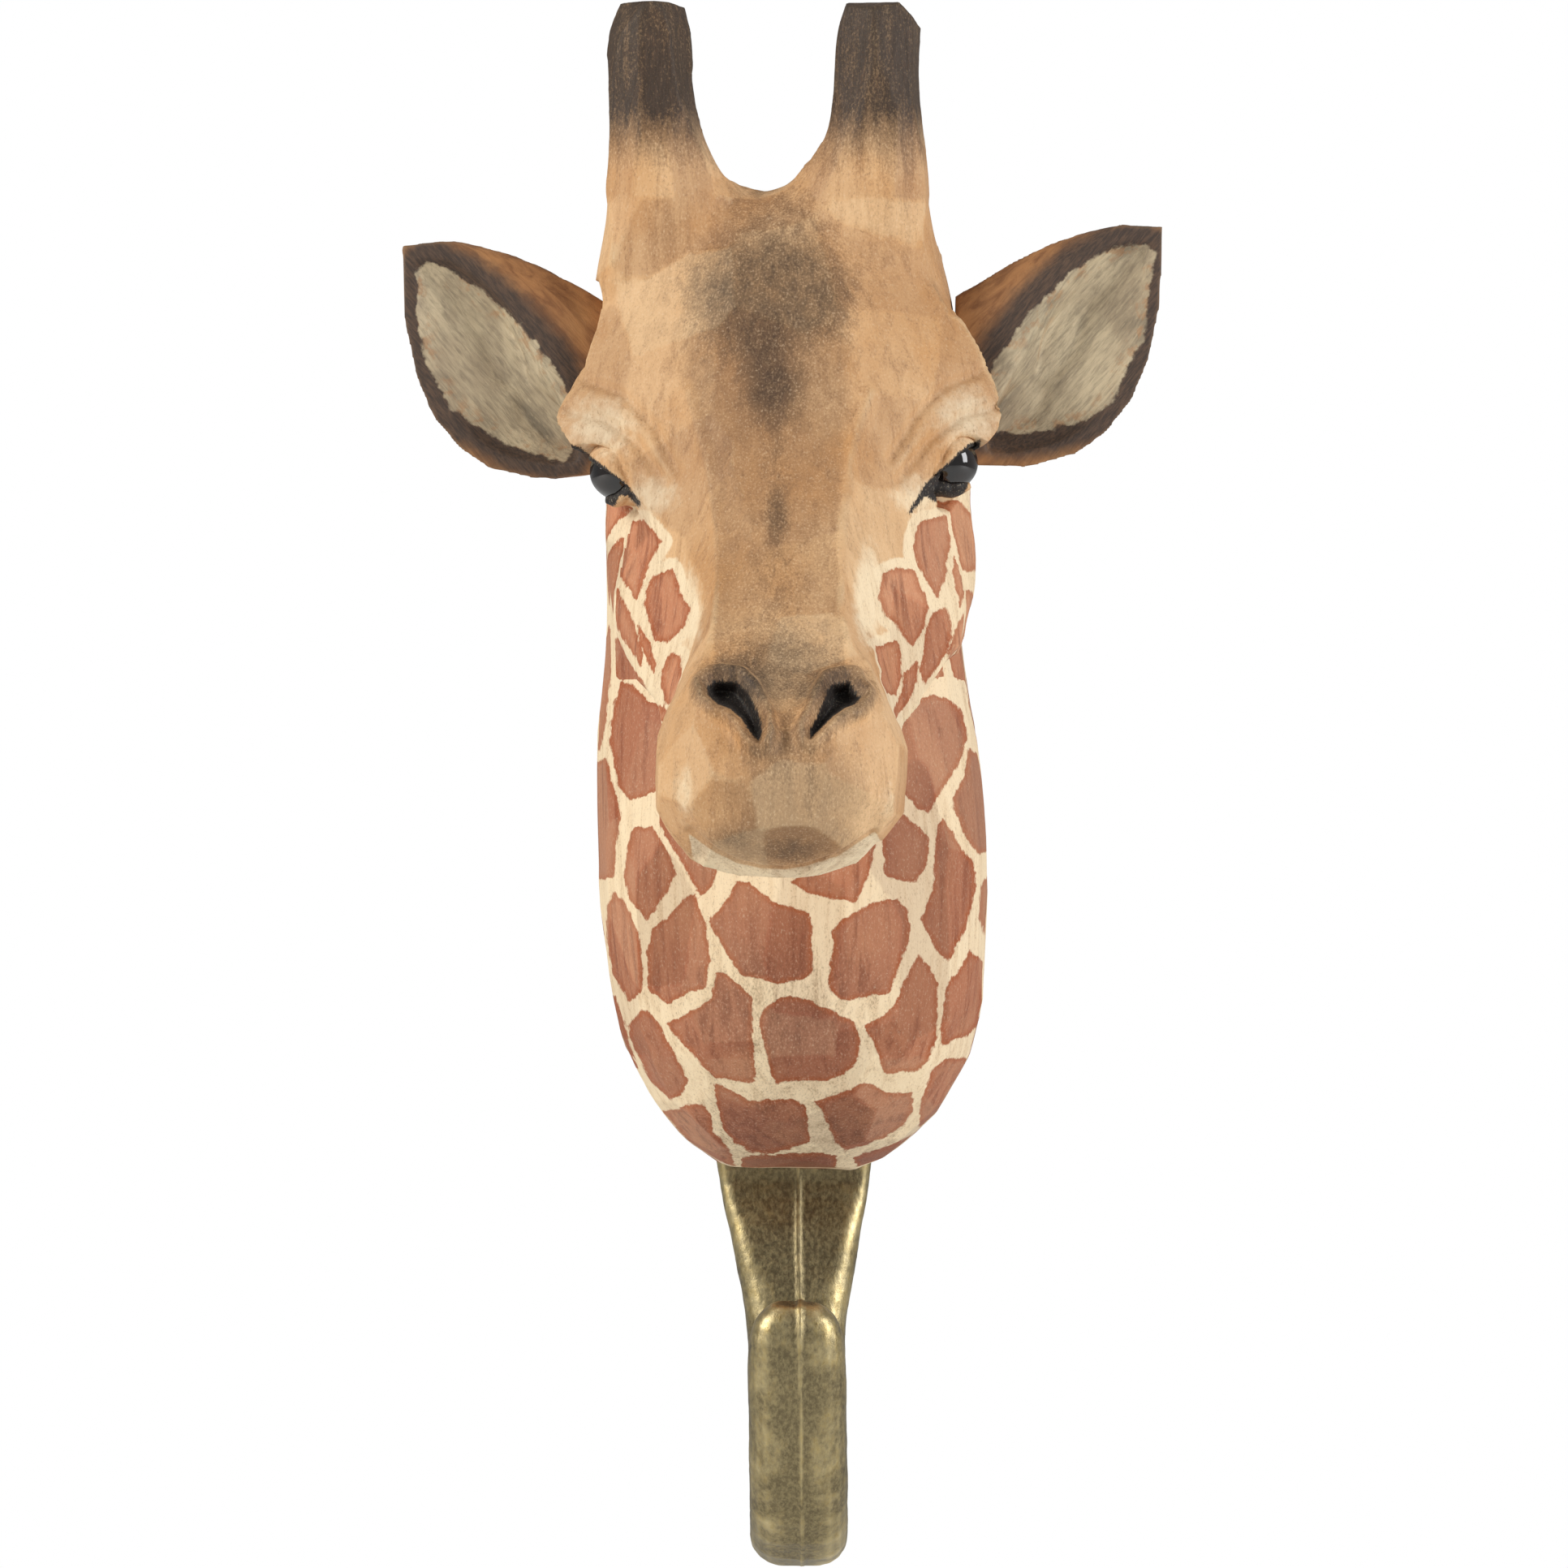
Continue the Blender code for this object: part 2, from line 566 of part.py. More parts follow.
def build_neck():
    sections = resample(NECK_SECTIONS, NECK_ROW_STEP)
    neck = add_object("neck_block", loft("neck_block", [neck_ring(s) for s in sections]), PATCHED_WOOD)
    reach = PLATE_BACK + PLATE_THICKNESS + GAP
    half = PLATE_WIDTH / 2 + GAP
    slot = rounded_slot("plate_recess", half, -80.0, PLATE_TOP_Z + GAP, -1.0, reach)
    boolean(neck, add_object("plate_recess", slot))
    half = HANGER_WIDTH / 2 + GAP
    low, high = HANGER_Z - HANGER_HEIGHT / 2 - GAP, HANGER_Z + HANGER_HEIGHT / 2 + GAP
    shallow = rounded_slot("hanger_recess", half, low, high, -1.0, HANGER_BACK + HANGER_THICKNESS + GAP)
    boolean(neck, add_object("hanger_recess", shallow))
    low, high = HANGER_Z + KEYHOLE_DROP - KEYHOLE_RADIUS - 1, HANGER_Z + SLOT_RISE + KEYHOLE_RADIUS
    cavity = rounded_slot("screw_head_cavity", KEYHOLE_RADIUS + 0.6, low, high, -1.0, CAVITY_DEPTH)
    boolean(neck, add_object("screw_head_cavity", cavity))
    for label, z in HEAD_DOWEL_HEIGHTS.items():
        hole = cylinder_between(
            "dowel_hole",
            place(HEAD_SHIFT, GLUE_DEPTH - HEAD_DOWEL_LENGTH / 2 - GAP, z),
            place(HEAD_SHIFT, GLUE_DEPTH + 5, z),
            HEAD_DOWEL_RADIUS + GAP,
        )
        boolean(neck, add_object("neck_dowel_hole_" + label, hole))
    for label, z in HOOK_SCREW_HEIGHTS.items():
        cut_screw_hole(neck, "neck_hook_screw_hole_" + label, 0, PLATE_BACK, z, HOOK_SCREW)
    for label, dz in HANGER_SCREW_OFFSETS.items():
        hole = "neck_hanger_screw_hole_" + label
        cut_screw_hole(neck, hole, 0, HANGER_BACK, HANGER_Z + dz, HANGER_SCREW)
    return neck


def build_head():
    rows = [[along, *(value for point in points for value in point)] for along, *points in HEAD_SECTIONS]
    rings = [head_ring(row, 2) for row in resample(rows, HEAD_ROW_STEP)]
    head = add_object("head_block", loft("head_block", rings), PAINTED_WOOD, head_frame)
    for side, sections in HORNS.items():
        horn = add_object("horn_" + side, loft("horn", horn_rings(sections)), None, head_frame)
        boolean(head, horn, "UNION")
    back = box_between("glue_face", (-60, -40, -40), (60, GLUE_DEPTH + GAP, 110))
    boolean(head, add_object("glue_face", back, None, head_frame))
    for label, z in HEAD_DOWEL_HEIGHTS.items():
        hole = cylinder_between(
            "dowel_hole",
            place(0, GLUE_DEPTH - 5, z),
            place(0, GLUE_DEPTH + HEAD_DOWEL_LENGTH / 2 + GAP, z),
            HEAD_DOWEL_RADIUS + GAP,
        )
        boolean(head, add_object("head_dowel_hole_" + label, hole, None, head_frame))
    for label, side in (("left", -1), ("right", 1)):
        boolean(head, add_object("ear_seat_" + label, ear_seat_mesh(side), None, head_frame))
        near, far = ear_axis(side, EAR_ROOT_X - 8 - GAP), ear_axis(side, EAR_ROOT_X + 10)
        hole = cylinder_between("ear_hole", near, far, EAR_DOWEL_RADIUS + GAP, 16)
        boolean(head, add_object("ear_hole_" + label, hole, None, head_frame))
        facing = Vector((side * EYE_FACING[0], -EYE_FACING[1], EYE_FACING[2])).normalized()
        centre = eye_centre(side)
        socket = cylinder_between(
            "eye_socket",
            centre - facing * (EYE_SKIRT + GAP) * MM,
            centre + facing * 12 * MM,
            EYE_RADIUS + GAP,
        )
        boolean(head, add_object("eye_socket_" + label, socket, None, head_frame))
        boolean(head, add_object("nostril_" + label, nostril_mesh(side), None, head_frame))
    return head


def nostril_mesh(side):
    """A teardrop scoop, wide at the outer top and pointed at the inner bottom."""
    points = []
    for (x, depth, z), radius in NOSTRIL_BALLS:
        for i in range(6):
            for j in range(12):
                polar, turn = math.pi * (i + 0.5) / 6, math.tau * j / 12
                across = radius * math.sin(polar)
                offset = Vector((across * math.cos(turn), across * math.sin(turn), radius * math.cos(polar)))
                points.append(place(side * x, depth, z) + offset * MM)
    return hull("nostril", points)


def eye_centre(side):
    x, depth, z = EYE_CENTRE
    return place(side * x, depth, z + HEAD_SKEW * side * x)


def build_eyes():
    for label, side in (("left", -1), ("right", 1)):
        facing = Vector((side * EYE_FACING[0], -EYE_FACING[1], EYE_FACING[2])).normalized()
        profile = [(EYE_RADIUS, -EYE_SKIRT), (EYE_RADIUS, 0.0)]
        for i in range(1, 6):
            angle = math.pi / 2 * i / 6
            profile.append((EYE_RADIUS * math.cos(angle), EYE_DOME * math.sin(angle)))
        centre = eye_centre(side)
        add_object("eye_" + label, turned("eye", profile, centre, facing), EYE_GLASS, head_frame)


def build_ears():
    for label, side in (("left", -1), ("right", 1)):
        ear = add_object("ear_" + label, ear_mesh(side), EAR_WOOD, head_frame)
        boolean(ear, add_object("ear_scoop_" + label, ear_hollow_mesh(side), None, head_frame))
        near, far = ear_axis(side, EAR_ROOT_X - 8), ear_axis(side, EAR_ROOT_X + 4.7)
        bore_end = ear_axis(side, EAR_ROOT_X + 5)
        bore = cylinder_between("ear_bore", near, bore_end, EAR_DOWEL_RADIUS + GAP, 16)
        boolean(ear, add_object("ear_bore_" + label, bore, None, head_frame))
        pin = cylinder_between("ear_dowel", near, far, EAR_DOWEL_RADIUS, 16)
        add_object("ear_dowel_" + label, pin, PLAIN_WOOD, head_frame)


def build_head_dowels():
    for label, z in HEAD_DOWEL_HEIGHTS.items():
        start = place(0, GLUE_DEPTH - HEAD_DOWEL_LENGTH / 2, z)
        end = place(0, GLUE_DEPTH + HEAD_DOWEL_LENGTH / 2, z)
        dowel = cylinder_between("head_dowel", start, end, HEAD_DOWEL_RADIUS)
        add_object("head_dowel_" + label, dowel, PLAIN_WOOD, head_frame)


def build_hook():
    hook = add_object("hook_casting", hook_mesh(), HOOK_METAL)
    for label, z in HOOK_SCREW_HEIGHTS.items():
        cut_screw_hole(hook, "hook_screw_hole_" + label, 0, PLATE_BACK, z, HOOK_SCREW)
        add_screw("hook_screw_" + label, 0, PLATE_BACK, z, HOOK_SCREW, STEEL)


def build_hanger():
    half = HANGER_WIDTH / 2
    low, high = HANGER_Z - HANGER_HEIGHT / 2, HANGER_Z + HANGER_HEIGHT / 2
    blank = rounded_slot("keyhole_hanger", half, low, high, HANGER_BACK, HANGER_BACK + HANGER_THICKNESS)
    hanger = add_object("keyhole_hanger", blank, STEEL)
    centre = HANGER_Z + KEYHOLE_DROP
    entry = cylinder_between("keyhole_entry", place(0, -2, centre), place(0, 5, centre), KEYHOLE_RADIUS)
    boolean(hanger, add_object("keyhole_entry", entry))
    slot = rounded_slot("keyhole_slot", SLOT_RADIUS, centre, HANGER_Z + SLOT_RISE, -2, 5)
    boolean(hanger, add_object("keyhole_slot", slot))
    for label, dz in HANGER_SCREW_OFFSETS.items():
        cut_screw_hole(hanger, "hanger_screw_hole_" + label, 0, HANGER_BACK, HANGER_Z + dz, HANGER_SCREW)
        add_screw("hanger_screw_" + label, 0, HANGER_BACK, HANGER_Z + dz, HANGER_SCREW, STEEL)


build_neck()
build_head()
build_ears()
build_eyes()
build_head_dowels()
build_hook()
build_hanger()
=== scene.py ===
"""Looks of the carved giraffe-head wall hook: knife-cut painted wood, glossy eyes and an aged brass hook.

Tables are in millimetres. A surface point is (x to the right, depth out from the wall, z up).
An outline is drawn on the wall plane as it looks from the viewpoint straight in front, so a surface
point is carried along its line of sight onto that plane before it is compared with an outline.
"""

import math

import bmesh
import bpy
import numpy as np
from mathutils import Matrix, Vector


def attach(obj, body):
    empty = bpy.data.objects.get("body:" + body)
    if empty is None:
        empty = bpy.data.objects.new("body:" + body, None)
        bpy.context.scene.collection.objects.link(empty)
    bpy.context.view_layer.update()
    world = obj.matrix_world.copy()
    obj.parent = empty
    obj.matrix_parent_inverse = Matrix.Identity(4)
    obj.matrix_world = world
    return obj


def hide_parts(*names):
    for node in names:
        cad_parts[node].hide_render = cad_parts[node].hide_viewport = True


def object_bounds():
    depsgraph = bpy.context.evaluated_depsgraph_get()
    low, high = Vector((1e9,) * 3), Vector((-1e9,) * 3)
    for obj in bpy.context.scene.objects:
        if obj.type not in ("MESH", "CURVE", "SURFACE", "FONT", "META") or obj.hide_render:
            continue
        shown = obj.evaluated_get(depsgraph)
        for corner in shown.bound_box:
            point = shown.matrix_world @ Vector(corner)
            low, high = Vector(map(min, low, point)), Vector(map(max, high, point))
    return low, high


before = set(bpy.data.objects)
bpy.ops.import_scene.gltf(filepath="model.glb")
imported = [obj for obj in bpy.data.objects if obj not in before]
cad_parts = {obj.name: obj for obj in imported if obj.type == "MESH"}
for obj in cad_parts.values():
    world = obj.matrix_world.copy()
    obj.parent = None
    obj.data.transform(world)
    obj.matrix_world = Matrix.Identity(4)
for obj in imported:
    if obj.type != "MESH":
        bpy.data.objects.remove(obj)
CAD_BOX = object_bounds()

MM = 0.001
SEED = 7

# The viewpoint: how far it is from the wall, how far to the side, and its lens in mm for a 36 mm frame.
VIEW_DISTANCE = 1100.0
VIEW_X = -1.23
LENS = 214.6
SENSOR = 36.0

# How fine the carved skins are.
WOOD_VOXEL = 0.42
EAR_VOXEL = 0.3
HOOK_VOXEL = 0.3

# The solid model's box as (x, depth, z).
BOX_LOW = np.array((CAD_BOX[0][0], -CAD_BOX[1][1], CAD_BOX[0][2])) / MM
BOX_HIGH = np.array((CAD_BOX[1][0], -CAD_BOX[0][1], CAD_BOX[1][2])) / MM

# Depths: the glue joint of neck and head, the cheeks' far edge, where the muzzle begins and where it is full.
GLUE_DEPTH = 30.0
CHEEK_DEPTH = 46.0
MUZZLE_DEPTHS = (68, 76)

# Eyes: the balls' middles, where the right one looks, their radius, and how far the lids stand over them.
EYE_BALLS = {"left": (-19.8, 46.3, 35.2), "right": (17.3, 46.3, 36.2)}
EYE_FACING = (0.78, 0.62, -0.06)
EYE_RADIUS = 3.4
LID = 0.45

# Knife cuts: their size, and how many times as long they are upwards.
NECK_CUT = (6.5, 1.9)
NECK_END_CUT = (6.5, 1.0)
FACE_CUT = (7.5, 1.4)
MUZZLE_CUT = (6.0, 1.0)
HORN_CUT = (3.6, 3.2)
EAR_CUT = (5.0, 1.2)

# How the cuts are made: most places tried and most cuts kept, how much a turned face counts as further off,
# the least cosine between a face and its cut, rounds of flattening, and the deepest shift.
CUT_TRIES = 5000
MOST_CUTS = 400
TURN_WEIGHT = 1.6
LEAST_FACING = 0.45
CUT_ROUNDS = 70
EAR_CUT_ROUNDS = 40
DEEPEST_CUT = 0.8

# Spots: most places tried and most spots kept where no outline reaches, the distance that stands for
# nowhere near a spot, and how many tones of brown there are.
SPOT_TRIES = 4000
MOST_SPOTS = 200
NO_SPOT = 9.0
TONES = 400

# Rounds of evening out against which worn edges are found.
EDGE_ROUNDS = 12

# Painted spots on the neck's front, as closed outlines.
NECK_SPOTS = (
    ((-22.2, 3.1), (-21.5, 0), (-20.5, -3.4), (-21, -6.9), (-21.3, -11), (-24, -11.2), (-24.5, -4), (-24, 2)),
    ((-18.9, -5.2), (-16.7, -5.1), (-14.8, -8.2), (-14.1, -10.6), (-15.4, -13.2), (-17.3, -16),
     (-19.4, -13.4), (-20.1, -11), (-19.4, -7)),
    ((-15.6, -2.1), (-13.9, -3), (-12, -4.5), (-10.5, -7), (-9.2, -9.5), (-9.4, -11.6), (-11, -13.1),
     (-12.4, -10.7), (-14.4, -7.3), (-15.8, -4.7)),
    ((-21.2, -12.8), (-19.9, -14.2), (-18.5, -17.4), (-17.9, -21.7), (-18, -24.2), (-19.4, -25.6),
     (-21.2, -22.6), (-22, -18.5), (-22, -14.5)),
    ((-13, -13.6), (-11.9, -13), (-10.5, -16.7), (-10, -20.5), (-10.4, -23.7), (-12.3, -24.5),
     (-15, -25.8), (-17.1, -24.2), (-17.3, -20), (-16.6, -17.1), (-14.4, -15.3)),
    ((-6.8, -11.7), (-5.5, -11.6), (-2.8, -13.8), (1.7, -15.3), (2.1, -16.9), (1.9, -19.2), (2.1, -22.1),
     (0.8, -22.9), (-2, -23.4), (-4.9, -22.7), (-6.3, -22.3), (-9, -18.1), (-10.1, -16), (-7.7, -13.6)),
    ((-0.3, -11.4), (2, -10), (5.5, -8), (7.9, -5.6), (9.6, -5.6), (9.2, -8.6), (8.4, -11.4), (7, -13.8),
     (4.7, -13.4), (1.2, -12.6)),
    ((5.4, -16.3), (7.9, -14.6), (10, -13.8), (12.1, -13.6), (13.2, -15), (13.5, -16.7), (13.1, -19.2),
     (11.1, -24.5), (8.6, -24.9), (5.7, -25.5), (4.2, -24.2), (4.2, -21.7), (4.7, -19.2), (4.4, -17.5)),
    ((11, -3), (12.7, -3.6), (14.4, -5), (15.9, -6.5), (15.6, -9.1), (14.4, -11.4), (12.5, -11.3),
     (10.7, -10.7), (10.5, -6.9), (10.6, -4.3)),
    ((17.5, -4.1), (19.3, -7.2), (20.8, -8.9), (21.3, -11.1), (21, -13.8), (20, -17.1), (18.1, -20.9),
     (16.9, -19.6), (15, -16), (16.4, -12.1), (16.6, -7.8), (16.9, -5.3)),
    ((20.6, 4.1), (23.5, 2), (24, -3), (23.5, -7.7), (21.5, -8.1), (20.4, -6.4), (18.9, -3), (18.7, -1.7),
     (20, 0.9)),
    ((22, -12), (23, -10.5), (24.5, -11), (24.5, -19), (22.6, -18.5), (21.8, -15.5)),
    ((-9.2, -22.3), (-8, -22.4), (-5, -25.2), (-5.1, -28.5), (-4.6, -35.1), (-9.4, -34.5), (-11.3, -32.4),
     (-13, -30.6), (-15, -28.3), (-10.9, -26.2), (-9.6, -25)),
    ((-3.4, -26.3), (-2, -25.4), (0.1, -25), (2.2, -25.8), (4.7, -27), (6.9, -28.1), (7.7, -30.2),
     (7.4, -32.4), (6.1, -33.9), (3.6, -34.9), (-1.3, -34.7), (-1.8, -35.5), (-2.6, -34.1), (-3.8, -29.5),
     (-4.1, -27.7)),
    ((14.6, -20.1), (15.7, -21.5), (16.8, -23.5), (16.6, -29.9), (15.7, -32.4), (14.3, -33.7),
     (10.7, -34.1), (9.7, -31.2), (8.2, -28.5), (10.4, -27.4), (11.9, -26), (12.9, -23.5)),
    ((20.6, -19.8), (22.3, -21), (22, -26), (21.6, -28.1), (20.4, -29.5), (17.5, -30.6), (17.3, -28.7),
     (17.9, -23.7), (19.3, -22.1)),
    ((-17.9, -26.6), (-16.2, -27.7), (-15.2, -29.9), (-12.6, -34.7), (-13.2, -36.2), (-14.4, -37.1),
     (-16.9, -34.9), (-19.1, -30.2), (-19.5, -28.5)),
    ((-21.2, -24.9), (-20.3, -27.4), (-19.4, -30.9), (-18.5, -33.4), (-20.5, -33), (-22.5, -29),
     (-22.5, -25)),
    ((20.2, -32.2), (20.5, -35), (18.7, -37.5), (17.1, -39.2), (14.8, -40.3), (14.8, -38), (15.4, -35.9),
     (16.4, -33.4), (17.9, -32.4)),
    ((-12.7, -37.8), (-10.5, -37.8), (-9.9, -39.4), (-9.8, -40.9), (-7.7, -43), (-7, -45), (-9.2, -44.2),
     (-11.6, -43), (-15.4, -38.6), (-13.4, -38.3)),
    ((-9.4, -35.3), (-7.3, -36.2), (-5.4, -37.4), (-0.3, -37.1), (1.2, -37.8), (1.8, -42.1), (0.1, -42.6),
     (-2.8, -43.4), (-4.9, -43.4), (-7, -42.1), (-8.2, -40.9), (-9.2, -37)),
    ((2.4, -37.3), (4.7, -36.8), (8.2, -35.2), (9.5, -35.5), (10.7, -36.4), (13.8, -36.4), (13.9, -38.2),
     (12.9, -40.1), (10.7, -41.5), (8.6, -42.3), (5.9, -43.2), (4.7, -41.7), (3.2, -38.4)),
    ((-6.1, -44), (-3.4, -43.7), (3.3, -43.5), (4.9, -43.9), (4.5, -47), (-6, -47)),
    ((7, -44), (12, -42.3), (14.5, -41), (13, -45), (8, -46)),
    ((-20.4, 11.8), (-19.3, 11.7), (-17, 9.5), (-13.5, 9), (-13, 4), (-14.5, 0.2), (-17.4, -1.2),
     (-19.3, -1.9), (-20.6, -0.4), (-21.7, 5.2), (-21.3, 8.6)),
    ((-21.5, 14.6), (-21.8, 12), (-22.3, 6.9), (-22.9, 4), (-24.5, 5), (-24, 14), (-22.5, 15.5)),
    ((11, 8.5), (16.5, 10.5), (18.3, 9.8), (19.6, 8.6), (20.3, 5.6), (19.6, 3.1), (17, -1.2),
     (15.7, -3.4), (14.4, -2.6), (12.7, -0.9), (12, 2.2)),
    ((20, 13), (20.8, 8.5), (22, 4.5), (24, 6), (23, 13)),
)

# Painted spots on the cheeks.
CHEEK_SPOTS = (
    ((-19.9, 30.8), (-17.8, 31), (-15.6, 28.6), (-17.2, 26), (-18.6, 21.7), (-20.9, 25.1), (-21.2, 26.8)),
    ((-16.7, 24.3), (-14.4, 25.3), (-13.5, 22.5), (-12.4, 20.6), (-12.9, 18.7), (-15, 16.7), (-16.3, 17),
     (-17.5, 20.8), (-17.3, 23)),
    ((-14.6, 15.3), (-13.5, 15.1), (-13.1, 11.2), (-13.7, 9.5), (-14.9, 9.5), (-15.6, 11.4), (-15.5, 13.4)),
    ((-20.9, 23), (-19.3, 19.8), (-17.9, 15.5), (-18, 13.9), (-20.6, 18), (-21.3, 20.2)),
    ((-18.4, 18.7), (-17, 16.3), (-16.3, 14.2), (-16.5, 13.1), (-18, 16.3)),
    ((-22.1, 31.4), (-21.7, 29.7), (-21.3, 28), (-21.5, 25.8), (-22.5, 25), (-23.5, 29)),
    ((-20.6, 15.1), (-18.9, 13.4), (-17.6, 11.7), (-17.4, 9.5), (-18.9, 10.3), (-20.1, 12), (-20.9, 13.9)),
    ((-17, 9.6), (-15, 8.8), (-14.7, 6.9), (-16.1, 7.7)),
    ((14.8, 30.8), (18.3, 31.6), (18.5, 30.1), (17.7, 24.5), (16.8, 22), (14.8, 25.4), (14, 27.5),
     (14.2, 29.2)),
    ((10.5, 24.7), (12.2, 25.4), (14, 25.1), (15.7, 21.1), (15.3, 18.5), (13.8, 16.2), (12, 18.9),
     (10.8, 19.8), (10, 22)),
    ((9.7, 16.1), (12, 16.8), (12.5, 15.1), (12.5, 12.5), (11.9, 10.5), (10.5, 10.8), (9.7, 12.5),
     (9.3, 14.4)),
    ((20, 32.7), (20.6, 33.1), (21.1, 30.9), (21.3, 28.4), (20.8, 24.9), (19.5, 20.8), (18.7, 24.9),
     (18.9, 27.5), (19.1, 30.6)),
    ((17.7, 20.8), (18.5, 18.9), (18.1, 16.3), (16.8, 13.8), (15.3, 11.8), (14.9, 13.4), (15.3, 16.3),
     (15.7, 18.9), (16.5, 20.2)),
    ((14.4, 14.4), (14.4, 12), (13.4, 9.9), (12, 7.9), (11.7, 8.6), (12.7, 10.8), (12.9, 12.9)),
    ((20.4, 20.6), (20.8, 18.9), (20, 16.3), (18.7, 13.4), (17.4, 10.8), (17.7, 12.5), (18.3, 15.5),
     (19.1, 18.5)),
    ((16.5, 10.3), (15.7, 7.7), (14.4, 6.7), (13.4, 6.5), (14, 8.2), (15.3, 9.5)),
)

# The nostrils' openings.
NOSTRILS = {
    "left": ((-10.3, 11.2), (-9.4, 11.8), (-8.4, 11.9), (-6.7, 11.7), (-5.5, 10.5), (-4.7, 9.1), (-4, 7.5),
             (-3.8, 5.8), (-4.1, 4.8), (-5.1, 5.8), (-6.2, 7.5), (-7.5, 8.6), (-9, 9.1), (-10.1, 10.1)),
    "right": ((4.3, 11.4), (5.4, 11.6), (6.5, 11.7), (6.9, 10.8), (7.7, 9.9), (7.1, 9.1), (5.8, 8.6),
              (4.5, 7.7), (3.3, 6.5), (1.9, 5.2), (1.8, 6.2), (2.6, 7.7), (3.4, 9.5), (3.9, 10.8)),
}

# Openings between the eyelids, and the black painted round them with its tear line.
EYE_OPENINGS = {
    "left": ((-27.5, 38.9), (-25.2, 38.8), (-24, 38.2), (-22.6, 37.1), (-20.8, 35.8), (-19.8, 34.8),
             (-20.4, 34.3), (-21.2, 33.9), (-22.3, 34), (-23.4, 34.8), (-27.5, 35.4)),
    "right": ((24.5, 39.8), (20.6, 39.5), (19.2, 38.5), (18.1, 37.3), (16.9, 36.4), (16.1, 35.6),
              (16.8, 35.2), (18.4, 35.1), (20.6, 36), (24.5, 37)),
}
EYE_PAINT = {
    "left": ((-26.9, 40.2), (-25.2, 39.6), (-24.2, 38.8), (-22.6, 37.5), (-20.8, 36.2), (-19.6, 35.2),
             (-18, 33), (-18.3, 32.5), (-19.6, 33.9), (-20.5, 33.9), (-21.2, 32.7), (-22.2, 32.6),
             (-23.5, 34), (-24.5, 35.9), (-24.6, 37.8), (-25.6, 38.9), (-26.9, 39.7)),
    "right": ((21.9, 40.5), (20.5, 40), (19.2, 38.9), (18.1, 37.8), (16.9, 36.8), (15.4, 35.3),
              (13.2, 31.7), (13.8, 31.9), (15.4, 33.9), (16.3, 33.3), (18.6, 33), (19.6, 33.3),
              (20.8, 36.1), (21.5, 37.7), (21.8, 39.5)),
}

# The line of the mouth, and the chin under it.
LIP_LINE = ((-12.4, -5.5), (-9.2, -8.1), (-6.7, -9.4), (-3.9, -10.1), (-1, -10.2), (1.2, -9.9), (5.2, -8.6),
            (9.5, -5.6))
CHIN = ((-12.6, -5.6), (-9.2, -8), (-6.7, -9.2), (-3.9, -9.8), (-1, -9.9), (1.2, -9.6), (5.2, -8.3),
        (9.5, -5.4), (10.5, -7), (6, -13), (-6, -13), (-12, -9))

# Warm brown brushed down the middle of the face.
FACE_STRIPE = ((-9.6, 10), (-9.4, 20), (-9.2, 28), (-10.2, 36), (-12, 44), (-13.5, 52), (-12.5, 62),
               (-7, 70), (0, 70), (4.5, 66), (6.5, 58), (6.4, 46), (5.6, 37), (4.9, 28), (5.5, 20), (6.4, 10))

# Carved creases over the eyes, and the edges of the flat bridge of the nose.
BROW_CREASES = (
    ((-26.5, 44), (-22.5, 43), (-18.5, 40), (-15.5, 35.5)),
    ((-24.5, 47.5), (-20.5, 46), (-16.5, 42), (-14, 37)),
    ((24, 44.5), (20, 43.5), (16, 40.5), (12.5, 36)),
    ((22, 48.5), (18, 47), (14.5, 43.5), (11.5, 38.5)),
)
BRIDGE_EDGES = (
    ((-12.5, 46), (-10.2, 38), (-9.1, 30), (-9, 22), (-9.8, 15)),
    ((9, 46), (6.6, 38), (5.2, 30), (5.2, 22), (6.3, 15)),
)

# How much fuller the saddle between the horns is, from left to right.
FORK_RISE_X = (-10, -7.2, -5, -3.3, -1, 1.1, 3, 5)
FORK_RISE = (0.2, 1.1, 0.7, 0.3, 0.9, 1.9, 1.2, 0)

# Brows' outer corners and the seat over the left ear: middle, reach, and how far they are pulled sideways.
SIDE_PUSH = (((-26, 42.5), 7, -1.8), ((24, 42.5), 6, 0.6), ((-22.5, 59), 6, -0.9))

# The ears' grey hollows.
EAR_BOWLS = {
    "left": ((-43.3, 61.5), (-44.6, 60), (-44.4, 54.2), (-43.3, 49.3), (-40.4, 44.2), (-38.5, 42.7),
             (-32.3, 39.2), (-27, 37.8), (-25, 41), (-26.3, 45.9), (-28.4, 49.3), (-32.3, 54.2),
             (-36.3, 57.8), (-39.3, 59.8), (-42.4, 61.4)),
    "right": ((42.6, 62.6), (40.8, 63.6), (37.4, 63.2), (33, 60.7), (28.6, 56.4), (25, 51.8), (22, 47),
              (22.6, 41.7), (25.9, 41.2), (30.3, 41.7), (34.5, 42.8), (37.4, 44.8), (39.5, 49.6),
              (41.1, 52.2), (41.7, 56.2), (42.2, 60.5)),
}

